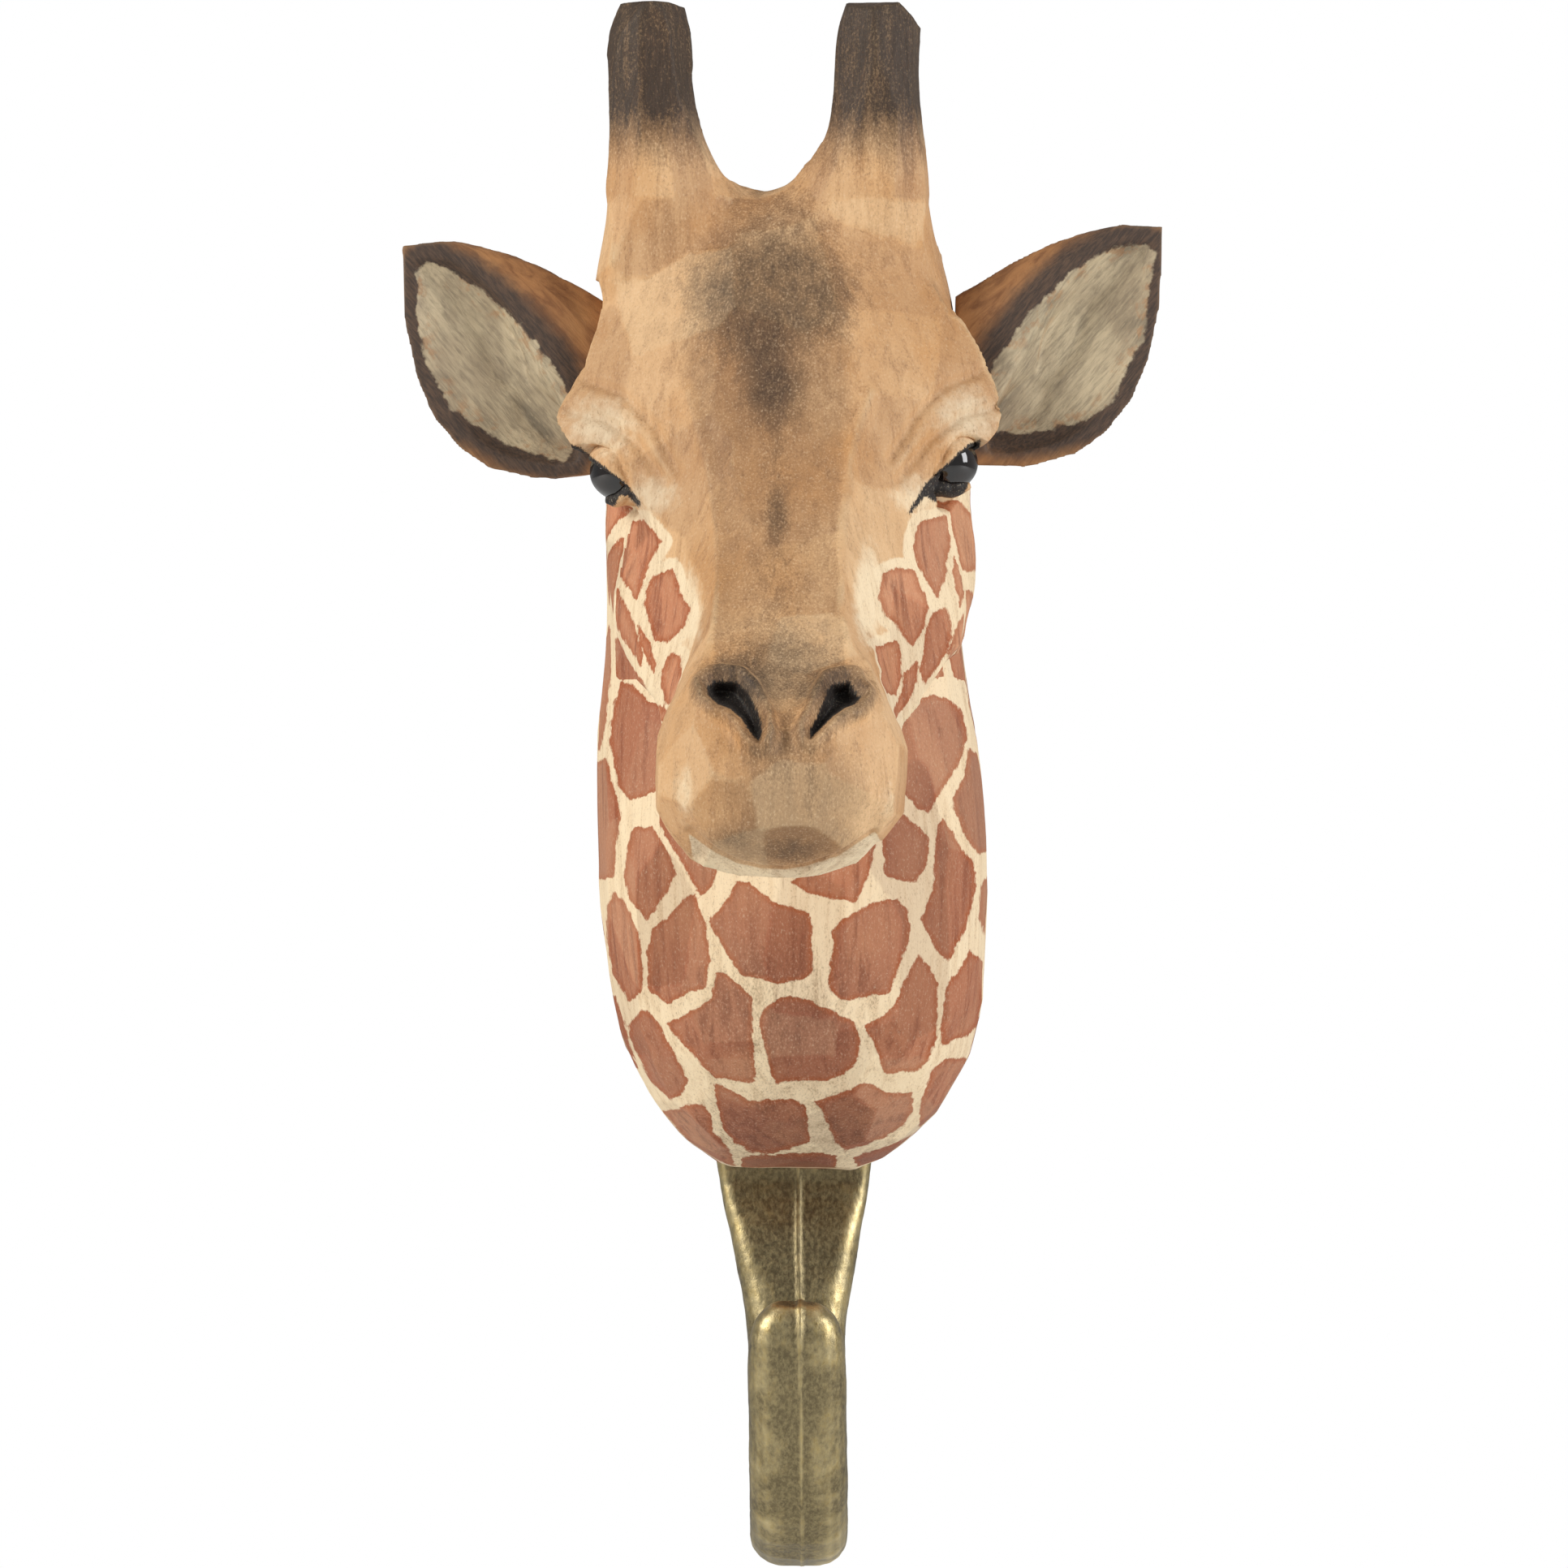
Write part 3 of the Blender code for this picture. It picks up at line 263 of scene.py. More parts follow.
# Soft ovals of paint on the head: middle, half size, how soft the edge is, and strength.
# First black airbrushed shade, then warm brown, then cream.
SHADES = (
    ((-2.4, 57.5), (13.5, 9.5), 0.6, 0.66),
    ((-2, 66), (9, 7), 1.0, 0.35),
    ((-2.6, 47), (5.5, 7.5), 0.9, 0.8),
    ((-5.5, 51.5), (7, 5), 1.0, 0.4),
    ((-2, 31.6), (2.2, 5.4), 0.8, 0.6),
    ((-2, 39), (3, 8), 1.0, 0.25),
    ((-2, 22), (6, 12), 1.0, 0.2),
    ((-2, 13.5), (10.5, 7), 0.8, 0.55),
    ((-7.5, 11.8), (6.5, 4.4), 0.6, 0.5),
    ((5.5, 10.8), (6, 4.4), 0.6, 0.5),
    ((-2, 5), (5, 8), 1.0, 0.4),
    ((-0.5, -7.8), (5, 2.2), 0.8, 0.45),
    ((-7, -6.4), (3, 1.8), 0.9, 0.4),
    ((2, 0.6), (1.3, 6.5), 0.9, 0.45),
)
BROWNS = (
    ((-1, -1), (11, 11), 0.8, 0.9),
    ((5, -1), (6, 7), 1.0, 0.6),
    ((-2, -6.8), (12.5, 4), 0.6, 0.95),
    ((-3, 50), (13, 18), 0.8, 0.6),
    ((-3, 46.5), (7, 8), 0.7, 0.9),
    ((-15, 64), (5, 9), 1.0, 0.3),
    ((11, 66), (5, 10), 1.0, 0.2),
)
CREAMS = (
    ((-23, 42), (9.5, 8.5), 1.0, 0.75),
    ((20.5, 43), (9.5, 9), 1.0, 0.7),
    ((-16.5, 34), (7, 5.5), 1.0, 0.7),
    ((14.5, 34), (7, 5.5), 1.0, 0.7),
    ((-19, 22), (7, 14), 0.7, 0.6),
    ((17, 22), (7, 14), 0.7, 0.6),
    ((-12.5, 20), (3.4, 11), 1.0, 0.9),
    ((8.7, 22), (3.6, 12), 1.0, 0.95),
    ((-13, -1), (3, 8), 1.0, 0.6),
    ((11, -2), (2.5, 7), 1.0, 0.5),
)
# Painted shade: darker paint on the lower front of the neck, growing towards its bottom.
NECK_PAINTED_SHADE = (((-1, -27), (17, 15), 0.9, 0.36), ((0, -42), (20, 8), 0.8, 0.4))

# Small lumps left by the casting: x, depth, z, radius and height.
HOOK_NODULES = (
    (0.9, 34.5, -59.6, 0.9, 0.5), (1.6, 34.0, -60.4, 0.7, 0.35), (-1.2, 5.0, -57.5, 0.7, 0.45),
    (1.4, 4.8, -56.4, 0.6, 0.4), (2.6, 5.2, -58.2, 0.8, 0.3), (-2.4, 34.6, -64.0, 0.6, 0.2),
    (-3.1, 35.0, -72.0, 0.5, 0.2), (2.2, 35.2, -79.0, 0.6, 0.2),
)

# The stage, in metres: the floor's drop below the object's middle and half its side, the lights' size and
# aim, and how much light the white background gives.
FLOOR_DROP = 0.2
FLOOR_HALF = 1.1
LIGHT_SIZE = (0.45, 0.7)
LIGHT_AIM = Vector((0, -0.04, 0))
WORLD_FILL = 0.32

STEEL_NODES = (
    "keyhole_hanger", "hanger_screw_upper", "hanger_screw_lower", "hook_screw_upper", "hook_screw_lower",
)
DOWEL_NODES = ("ear_dowel_left", "ear_dowel_right", "head_dowel_upper", "head_dowel_lower")


def linear(code):
    """The linear colour of a hexadecimal screen colour."""
    channels = [int(code[i:i + 2], 16) / 255 for i in (0, 2, 4)]
    return (*(c / 12.92 if c <= 0.04045 else ((c + 0.055) / 1.055) ** 2.4 for c in channels), 1.0)


def smoothstep(low, high, value):
    """0 up to low and 1 from high on, with a soft passage. High may be the smaller one."""
    t = np.clip((value - low) / (high - low), 0, 1)
    return t * t * (3 - 2 * t)


def rows_of(items, name, width, kind):
    """One row of numbers for each item of a mesh."""
    flat = np.empty(width * len(items), kind)
    items.foreach_get(name, flat)
    return flat.reshape(-1, width)


def points_of(mesh):
    """The vertices as (x, depth, z) in mm."""
    return rows_of(mesh.vertices, "co", 3, np.float32).astype(np.float64) * (1 / MM, -1 / MM, 1 / MM)


def set_points(mesh, points):
    """Moves the vertices, holding them inside the solid model's box."""
    points[:] = np.clip(points, BOX_LOW, BOX_HIGH)
    mesh.vertices.foreach_set("co", (points * (MM, -MM, MM)).astype(np.float32).ravel())
    mesh.update()


def normals_of(mesh):
    return rows_of(mesh.vertex_normals, "vector", 3, np.float32).astype(np.float64) * (1, -1, 1)


def edges_of(mesh):
    return rows_of(mesh.edges, "vertices", 2, np.int32)


def neighbour_mean(values, edges):
    """Each vertex's mean over its neighbours, for one column or several."""
    table = values.reshape(len(values), -1)
    count = np.bincount(edges.ravel(), minlength=len(table))
    total = np.empty_like(table)
    for k in range(table.shape[1]):
        total[:, k] = np.bincount(edges[:, 0], table[edges[:, 1], k], len(table))
        total[:, k] += np.bincount(edges[:, 1], table[edges[:, 0], k], len(table))
    return (total / np.maximum(count, 1)[:, None]).reshape(values.shape)


def smooth(values, edges, rounds, weight=0.5, keep_size=False):
    """Evens values out over the surface. With keep_size each round is followed by one that swells back."""
    for _ in range(rounds):
        values = values + (neighbour_mean(values, edges) - values) * weight
        if keep_size:
            values = values - (neighbour_mean(values, edges) - values) * weight * 1.05
    return values


def mixed(first, second, share):
    """The first points, moved towards the second by each vertex's share."""
    return first * (1 - share)[:, None] + second * share[:, None]


def on_wall(points):
    """Where each point is seen on the wall plane."""
    scale = 1 - points[:, 1] / VIEW_DISTANCE
    return (points[:, 0] - VIEW_X) / scale + VIEW_X, points[:, 2] / scale


def line_distance(u, v, line):
    """Distance to an open line in mm."""
    nearest = np.full(len(u), 1e9)
    for (au, av), (bu, bv) in zip(line, line[1:]):
        du, dv = bu - au, bv - av
        t = np.clip(((u - au) * du + (v - av) * dv) / (du * du + dv * dv), 0, 1)
        nearest = np.minimum(nearest, (u - au - t * du) ** 2 + (v - av - t * dv) ** 2)
    return np.sqrt(nearest)


def signed_distance(u, v, outline):
    """Distance to a closed outline in mm, below zero inside it."""
    closed = outline + outline[:1]
    inside = np.zeros(len(u), bool)
    for (au, av), (bu, bv) in zip(outline, closed[1:]):
        if av != bv:
            inside ^= ((av > v) != (bv > v)) & (u < (bu - au) * (v - av) / (bv - av) + au)
    return np.where(inside, -1, 1) * line_distance(u, v, closed)


def spot_field(u, v, outlines):
    """Distance to the nearest of many outlines, and which one it is."""
    reach = 4
    distance = np.full(len(u), NO_SPOT)
    which = np.zeros(len(u), int)
    for k, outline in enumerate(outlines):
        us, vs = zip(*outline)
        near = (u > min(us) - reach) & (u < max(us) + reach) & (v > min(vs) - reach) & (v < max(vs) + reach)
        found = signed_distance(u[near], v[near], outline)
        at = np.flatnonzero(near)[found < distance[near]]
        distance[at] = found[found < distance[near]]
        which[at] = k
    return distance, which


def scattered(points, spacing, stretch, most, random):
    """Indices of points at least one spacing apart, measured with z squeezed by stretch."""
    squeezed = points * (1, 1, 1 / stretch)
    chosen = []
    for i in random.permutation(len(points)):
        if chosen:
            gaps = squeezed[chosen] - squeezed[i]
            if (gaps * gaps).sum(axis=1).min() < spacing * spacing:
                continue
        chosen.append(i)
        if len(chosen) >= most:
            break
    return np.array(chosen)


def nearest_two(points, seeds, stretch):
    """Distances to the nearest and second nearest seed, and the nearest's number."""
    first = np.full(len(points), 1e9)
    second = np.full(len(points), 1e9)
    which = np.zeros(len(points), int)
    for k, seed in enumerate(seeds):
        gap = np.sqrt((((points - seed) * (1, 1, 1 / stretch)) ** 2).sum(axis=1))
        closer = gap < first
        second = np.where(closer, first, np.minimum(second, gap))
        which[closer] = k
        first = np.where(closer, gap, first)
    return first, second, which


def corners_of(mesh):
    """The vertices of every triangle."""
    mesh.calc_loop_triangles()
    return rows_of(mesh.loop_triangles, "vertices", 3, np.int32)


def knife_cut(mesh, points, zones, rounds=CUT_ROUNDS):
    """Carves flat facets: every face turns towards the mean plane of the cut that it belongs to.

    Each zone holds its weight at each vertex, the size of its cuts, and how much longer they are upwards.
    Returns the moved points, and a random tint for each cut.
    """
    random = np.random.default_rng(SEED)
    corners = corners_of(mesh)
    p = points[corners]
    cross = np.cross(p[:, 1] - p[:, 0], p[:, 2] - p[:, 0])
    normal = cross / np.maximum(np.linalg.norm(cross, axis=1), 1e-9)[:, None]
    middle = p.mean(axis=1)
    plane = normal.copy()
    tint = np.full(len(corners), 0.5)
    moved = np.zeros(len(points))
    for weight, spacing, stretch in zones:
        inside = np.flatnonzero(weight[corners].max(axis=1) > 0.02)
        at = middle[inside]
        sample = random.permutation(len(inside))[:CUT_TRIES]
        seeds = sample[scattered(at[sample], spacing, stretch, MOST_CUTS, random)]
        best = np.full(len(inside), 1e9)
        cell = np.zeros(len(inside), int)
        for k, seed in enumerate(seeds):
            gap = (((at - at[seed]) * (1, 1, 1 / stretch)) ** 2).sum(axis=1)
            gap += (1 - normal[inside] @ normal[inside[seed]]) * TURN_WEIGHT * spacing * spacing
            closer = gap < best
            best[closer] = gap[closer]
            cell[closer] = k
        total = np.stack([np.bincount(cell, cross[inside, k], len(seeds)) for k in range(3)], axis=1)
        total /= np.maximum(np.linalg.norm(total, axis=1), 1e-9)[:, None]
        facing = (normal[inside] * total[cell]).sum(axis=1)
        plane[inside] = np.where((facing > LEAST_FACING)[:, None], total[cell], normal[inside])
        tint[inside] = random.random(len(seeds))[cell]
        moved = np.maximum(moved, weight)
    count = np.maximum(np.bincount(corners.ravel(), minlength=len(points)), 1)
    start = points
    points = points.copy()
    for _ in range(rounds):
        p = points[corners]
        middle = p.mean(axis=1)
        step = np.zeros_like(points)
        for k in range(3):
            push = ((middle - p[:, k]) * plane).sum(axis=1)
            for axis in range(3):
                step[:, axis] += np.bincount(corners[:, k], push * plane[:, axis], len(points))
        points += step * (moved / count)[:, None]
    shift = points - start
    length = np.linalg.norm(shift, axis=1)
    shift *= (np.minimum(length, DEEPEST_CUT) / np.maximum(length, 1e-9))[:, None]
    tint = sum(np.bincount(corners[:, k], tint, len(points)) for k in range(3)) / count
    return start + shift, tint


def finished_mesh(bm, name):
    mesh = bpy.data.meshes.new(name)
    bm.to_mesh(mesh)
    bm.free()
    return mesh


def add_object(name, data):
    obj = bpy.data.objects.new(name, data)
    bpy.context.scene.collection.objects.link(obj)
    return obj


def skin_over(name, node, voxel, fillers=()):
    """A fine closed skin over a CAD node and any fillers, with its mesh, edges and points."""
    bm = bmesh.new()
    for mesh in (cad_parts[node].data, *fillers):
        bm.from_mesh(mesh)
    mesh = finished_mesh(bm, name)
    obj = add_object(name, mesh)
    modifier = obj.modifiers.new("skin", "REMESH")
    modifier.mode = "VOXEL"
    modifier.voxel_size = voxel * MM
    made = bpy.data.meshes.new_from_object(obj.evaluated_get(bpy.context.evaluated_depsgraph_get()))
    obj.modifiers.clear()
    obj.data = made
    made.name = name
    bpy.data.meshes.remove(mesh)
    made.shade_smooth()
    return obj, made, edges_of(made), points_of(made)


def ball(x, depth, z, radius):
    bm = bmesh.new()
    place = Matrix.Translation((x * MM, -depth * MM, z * MM))
    bmesh.ops.create_icosphere(bm, subdivisions=4, radius=radius * MM, matrix=place)
    return finished_mesh(bm, "filler")


def refine(mesh, chosen):
    """Splits every edge between chosen vertices once, where fine detail is cut."""
    bm = bmesh.new()
    bm.from_mesh(mesh)
    bm.verts.ensure_lookup_table()
    edges = [e for e in bm.edges if chosen[e.verts[0].index] and chosen[e.verts[1].index]]
    bmesh.ops.subdivide_edges(bm, edges=edges, cuts=1, use_grid_fill=True)
    bmesh.ops.triangulate(bm, faces=[f for f in bm.faces if len(f.verts) > 4])
    bm.to_mesh(mesh)
    bm.free()
    mesh.shade_smooth()


def store(mesh, **columns):
    """Keeps one number for each vertex under each name, for the materials to read."""
    for name, values in columns.items():
        attribute = mesh.attributes.new(name, "FLOAT", "POINT")
        attribute.data.foreach_set("value", np.asarray(values, np.float32))


def relief(points, normals, edges, rounds=EDGE_ROUNDS):
    """How far each vertex stands over its surroundings: edges and ridges above zero, hollows below."""
    even = smooth(points, edges, rounds)
    return ((points - even) * normals).sum(axis=1)


def patch(u, v, middle, half, softness):
    """1 in the middle of an oval, falling to 0 at its edge."""
    r = np.sqrt(((u - middle[0]) / half[0]) ** 2 + ((v - middle[1]) / half[1]) ** 2)
    return 1 - smoothstep(1 - softness, 1, r)


def layered(u, v, patches):
    """Soft ovals laid over each other, each with its own strength."""
    clear = np.ones(len(u))
    for middle, half, softness, strength in patches:
        clear *= 1 - strength * patch(u, v, middle, half, softness)
    return 1 - clear


def side_spots(points, region, spacing, stretch, line, random):
    """Spots where no outline reaches: cells round scattered seeds, parted by lines of bare cream."""
    inside = np.flatnonzero(region)
    sample = inside[random.permutation(len(inside))[:SPOT_TRIES]]
    seeds = points[sample[scattered(points[sample], spacing, stretch, MOST_SPOTS, random)]]
    first, second, nearest = nearest_two(points[inside], seeds, stretch)
    distance = np.full(len(points), NO_SPOT)
    distance[inside] = line - (second - first) / 2
    which = np.zeros(len(points), int)
    which[inside] = nearest + 40
    return distance, which


def muzzle_of(points):
    return smoothstep(*MUZZLE_DEPTHS, points[:, 1])


def nostril_distance(u, v):
    return np.minimum(*(signed_distance(u, v, outline) for outline in NOSTRILS.values()))


def over(below, above):
    """Two strengths of paint laid over each other."""
    return 1 - (1 - below) * (1 - above)


def build_neck():
    """The neck: flat and bare where it meets the wall and the head, knife-cut and spotted elsewhere."""
    neck, mesh, edges, raw = skin_over("neck_carving", "neck_block", WOOD_VOXEL)
    back = 1 - smoothstep(3.5, 6.0, raw[:, 1])
    glue = smoothstep(GLUE_DEPTH - 1.2, GLUE_DEPTH - 0.2, raw[:, 1]) * (raw[:, 2] > 11)
    flat = np.maximum(back, glue)
    rounded = smooth(raw, edges, 30, keep_size=True)
    points = mixed(rounded, smooth(raw, edges, 3, keep_size=True), flat)
    set_points(mesh, points)
    carved = 1 - flat
    low = smoothstep(-31, -35, points[:, 2])
    zones = ((carved * (1 - low), *NECK_CUT), (carved * low, *NECK_END_CUT))
    points, tint = knife_cut(mesh, points, zones)
    points = mixed(points, smooth(points, edges, 1), carved)
    set_points(mesh, points)
    normals = normals_of(mesh)

    # Outlined spots in front, scattered ones round the sides and over the nape, with a cream line between.
    u, v = on_wall(points)
    depth, z = points[:, 1], points[:, 2]
    random = np.random.default_rng(SEED)
    seam = 13 + 1.6 * np.sin(z * 0.2)
    behind = depth < seam
    upper = z > 12
    outlined = ~behind & ~(upper & (depth < 29) & (np.abs(points[:, 0]) < 40))
    front_distance, front_which = spot_field(u, v, NECK_SPOTS)
    side_distance, side_which = side_spots(points, behind | upper, 10.5, 1.25, 1.1, random)
    spots = np.where(outlined, front_distance, side_distance)
    which = np.where(outlined, front_which, side_which)
    border = np.abs(depth - seam) - 0.9
    spots = np.maximum(spots, np.where(upper, -NO_SPOT, -border))

    # The throat, which the muzzle hides from the front.
    throat = outlined & (u > -11) & (u < 8.5) & (v > -8) & (front_distance > 1.5)
    throat_random = np.random.default_rng(SEED + 2)
    throat_distance, throat_which = side_spots(points, throat, 8.5, 1.2, 1.1, throat_random)
    spots = np.where(throat, np.maximum(throat_distance, 2.4 - front_distance), spots)
    which = np.where(throat, throat_which, which)

    # No spots on the crown and the joints.
    fade = smoothstep(46, 56, z)
    crown = (np.abs(normals[:, 0]) < 0.5) & (z > 38) & (depth < 25)
    spots = spots + NO_SPOT * np.maximum(fade, crown)
    spots = np.where((depth < 1.2) | (glue > 0.5), 3.0, spots)

    # Painted shade on the lower front of the neck: it darkens both the spots' tone and the paint over them.
    shade = layered(u, v, NECK_PAINTED_SHADE) * smoothstep(8, 20, depth)
    recess = (np.abs(points[:, 0]) < 13) & (depth < 12) & (np.abs(z - 6) < 42)
    bare = np.maximum(1 - smoothstep(0.6, 2.0, depth), recess)
    none = np.zeros(len(points))
    store(mesh, facet=tint, spots=spots, tone=random.random(TONES)[which % TONES] + 1.6 * shade,
          dark=0.6 * shade, brown=none, cream=1 - fade, ink=none + 5,
          edge=relief(points, normals, edges), bare=bare)
    return neck


def press_eye(points, side, u, v):
    """Opens the lids over one eyeball, and holds the skin around just proud of it."""
    centre = np.array(EYE_BALLS[side])
    sunk = EYE_RADIUS - 1.0
    arm = points - centre
    reach = np.linalg.norm(arm, axis=1)
    near = (reach < 7.0) & (arm[:, 1] > -3)
    outward = np.sign(centre[0]) * arm[near, 0]
    inner = smoothstep(1.6, -0.6, outward)
    held = smoothstep(4.2, 2.8, outward)
    opening = signed_distance(u[near], v[near], EYE_OPENINGS[side])
    skin = np.maximum(reach[near], (EYE_RADIUS + LID) * held)
    lid = 0.4 * np.exp(-((opening - 0.6) / 0.5) ** 2) * inner
    opened = smoothstep(0.22, -0.22, opening)
    wanted = (skin + lid) * (1 - opened) + sunk * opened
    settle = 1 - smoothstep(5.2, 6.8, reach[near])
    target = reach[near] + (wanted - reach[near]) * settle
    points[near] = centre + arm[near] * (target / np.maximum(reach[near], 0.1))[:, None]
    return points


def build_head():
    """The head and horns, with lids, nostrils, mouth and brows carved in."""
    fillers = [
        ball(x - math.copysign(1.3, x), depth, z, EYE_RADIUS + LID) for x, depth, z in EYE_BALLS.values()
    ]
    head, mesh, edges, raw = skin_over("head_carving", "head_block", WOOD_VOXEL, fillers)
    glue = 1 - smoothstep(GLUE_DEPTH + 0.5, GLUE_DEPTH + 1.5, raw[:, 1])
    points = smooth(raw, edges, 24, keep_size=True)
    fork = patch(raw[:, 0], raw[:, 2], (-1.6, 69), (12, 9), 0.6)
    points = mixed(points, smooth(points, edges, 60), fork)
    u, v = on_wall(points)
    points[:, 2] += np.interp(u, FORK_RISE_X, FORK_RISE) * smoothstep(61, 67, v) * smoothstep(80, 72, v)
    for (x, z), reach, push in SIDE_PUSH:
        points[:, 0] += push * patch(u, v, (x, z), (reach, reach), 1.0) * smoothstep(30, 36, points[:, 1])
    points = mixed(points, smooth(raw, edges, 3, keep_size=True), glue)
    set_points(mesh, points)
    muzzle = muzzle_of(points)
    eyes = np.zeros(len(points))
    for centre in EYE_BALLS.values():
        eyes = np.maximum(eyes, 1 - smoothstep(4.5, 7, np.linalg.norm(points - centre, axis=1)))
    horn = smoothstep(66, 72, points[:, 2])
    carved = (1 - glue) * (1 - eyes)
    zones = (
        (carved * (1 - muzzle) * (1 - horn), *FACE_CUT),
        (carved * muzzle, *MUZZLE_CUT),
        (carved * horn, *HORN_CUT),
    )
    points, tint = knife_cut(mesh, points, zones)
    points = mixed(points, smooth(points, edges, 1), carved)
    set_points(mesh, points)
    store(mesh, facet=tint)

    # Finer faces where lids, nostrils and mouth are cut.
    u, v = on_wall(points)
    near_nostril = nostril_distance(u, v) < 2.5
    near_mouth = line_distance(u, v, LIP_LINE) < 1.6
    refine(mesh, (eyes > 0.02) | ((muzzle > 0) & (near_nostril | near_mouth)))
    edges = edges_of(mesh)
    points = points_of(mesh)
    for side in EYE_BALLS:
        points = press_eye(points, side, *on_wall(points))
    u, v = on_wall(points)
    normals = smooth(normals_of(mesh), edges, 8)
    normals /= np.linalg.norm(normals, axis=1)[:, None]
    muzzle = muzzle_of(points)
    nostril = nostril_distance(u, v)
    rim = 1.35 * np.exp(-((nostril - 1.0) / 0.85) ** 2)
    groove = -0.55 * np.exp(-(line_distance(u, v, LIP_LINE) / 0.4) ** 2)
    chin = -0.6 * smoothstep(0.3, -0.9, signed_distance(u, v, CHIN))
    crease = np.minimum.reduce([line_distance(u, v, line) for line in BROW_CREASES])
    bridge = np.minimum.reduce([line_distance(u, v, line) for line in BRIDGE_EDGES])
    carving = 0.38 * np.exp(-(bridge / 0.8) ** 2) - 0.6 * np.exp(-(crease / 0.7) ** 2)
    carving *= smoothstep(36, 42, points[:, 1])
    points += normals * ((rim + groove + chin) * muzzle + carving)[:, None]
    points[:, 1] -= 2.2 * smoothstep(0.1, -1.1, nostril) * muzzle
    set_points(mesh, points)
    normals = normals_of(mesh)

    # Outlined spots on the cheeks, scattered ones behind them between the ear and the jaw.
    u, v = on_wall(points)
    depth, z = points[:, 1], points[:, 2]
    random = np.random.default_rng(SEED + 1)
    away = np.clip(CHEEK_DEPTH - depth, 0, 40)
    roof = 33 + 0.6 * away
    floor = 8 + 0.35 * away
    hidden = (depth < CHEEK_DEPTH) & (np.abs(points[:, 0]) > 9)
    front_distance, front_which = spot_field(u, v, CHEEK_SPOTS)
    side_distance, side_which = side_spots(points, hidden & (z < roof + 3), 7.0, 1.3, 0.9, random)
    cheek_line = 0.8 - np.abs(depth - CHEEK_DEPTH)
    side_distance = np.maximum.reduce([side_distance, z - roof, floor - z, cheek_line])
    ragged = 67.5 + 0.8 * np.sin(1.3 * z) + 0.5 * np.sin(2.9 * z)
    spots = np.where(hidden, side_distance, np.maximum(front_distance, depth - ragged))
    spots = np.where(~hidden & (depth < CHEEK_DEPTH), NO_SPOT, spots)
    which = np.where(hidden, side_which, front_which)

    facing = smoothstep(-0.05, 0.35, normals[:, 1])
    forward = smoothstep(30, 40, depth) * facing
    dark = layered(u, v, SHADES) * forward
    dark = over(dark, 0.4 * smoothstep(2.2, 1.4, nostril) * muzzle)
    dark = over(dark, smoothstep(69.5, 81.0, v))
    softness = np.interp(v, (30, 50), (0.6, 3.0))
    stripe = 0.55 * smoothstep(0, 1, 0.5 - signed_distance(u, v, FACE_STRIPE) / softness)
    brown = over(layered(u, v, BROWNS), stripe) * forward
    under = smoothstep(-0.1, -0.6, normals[:, 2]) * (z < 25) * smoothstep(66, 58, depth)
    chin_paint = smoothstep(0.2, -0.4, signed_distance(u, v, CHIN)) * muzzle
    round_spots = smoothstep(1.7, 0.9, spots)
    cream = np.maximum.reduce([layered(u, v, CREAMS) * facing, round_spots, under, chin_paint])
    ink = np.where(muzzle > 0, np.minimum(nostril, NO_SPOT), NO_SPOT)
    for side, outline in EYE_PAINT.items():
        tail = 42.6 + 0.9 * np.abs(z - EYE_BALLS[side][2] - 0.8) - depth
        ink = np.minimum(ink, np.maximum(signed_distance(u, v, outline), tail))
    bare = 1 - smoothstep(GLUE_DEPTH + 0.4, GLUE_DEPTH + 0.7, depth)
    store(mesh, spots=spots, tone=random.random(TONES)[which % TONES] - 0.9, dark=dark, brown=brown,
          cream=cream, ink=ink, edge=relief(points, normals, edges), bare=bare)
    return head


def build_ear(side):
    """One ear: left as the solid at its root, smooth in its hollow, knife-cut behind."""
    ear, mesh, edges, raw = skin_over("ear_carving_" + side, "ear_" + side, EAR_VOXEL)
    root = 1 - smoothstep(20.5, 22.5, np.abs(raw[:, 0] + 1.4))
    points = mixed(smooth(raw, edges, 14, keep_size=True), raw, root)
    set_points(mesh, points)
    behind = (1 - root) * (1 - smoothstep(0.0, 0.4, normals_of(mesh)[:, 1]))
    points, tint = knife_cut(mesh, points, ((behind, *EAR_CUT),), EAR_CUT_ROUNDS)
    set_points(mesh, points)
    normals = normals_of(mesh)
    bowl = signed_distance(*on_wall(points), EAR_BOWLS[side])
    bowl = np.where(normals[:, 1] > 0.05, bowl, 4.0)
    store(mesh, facet=tint, bowl=bowl, edge=relief(points, normals, edges))
    return ear


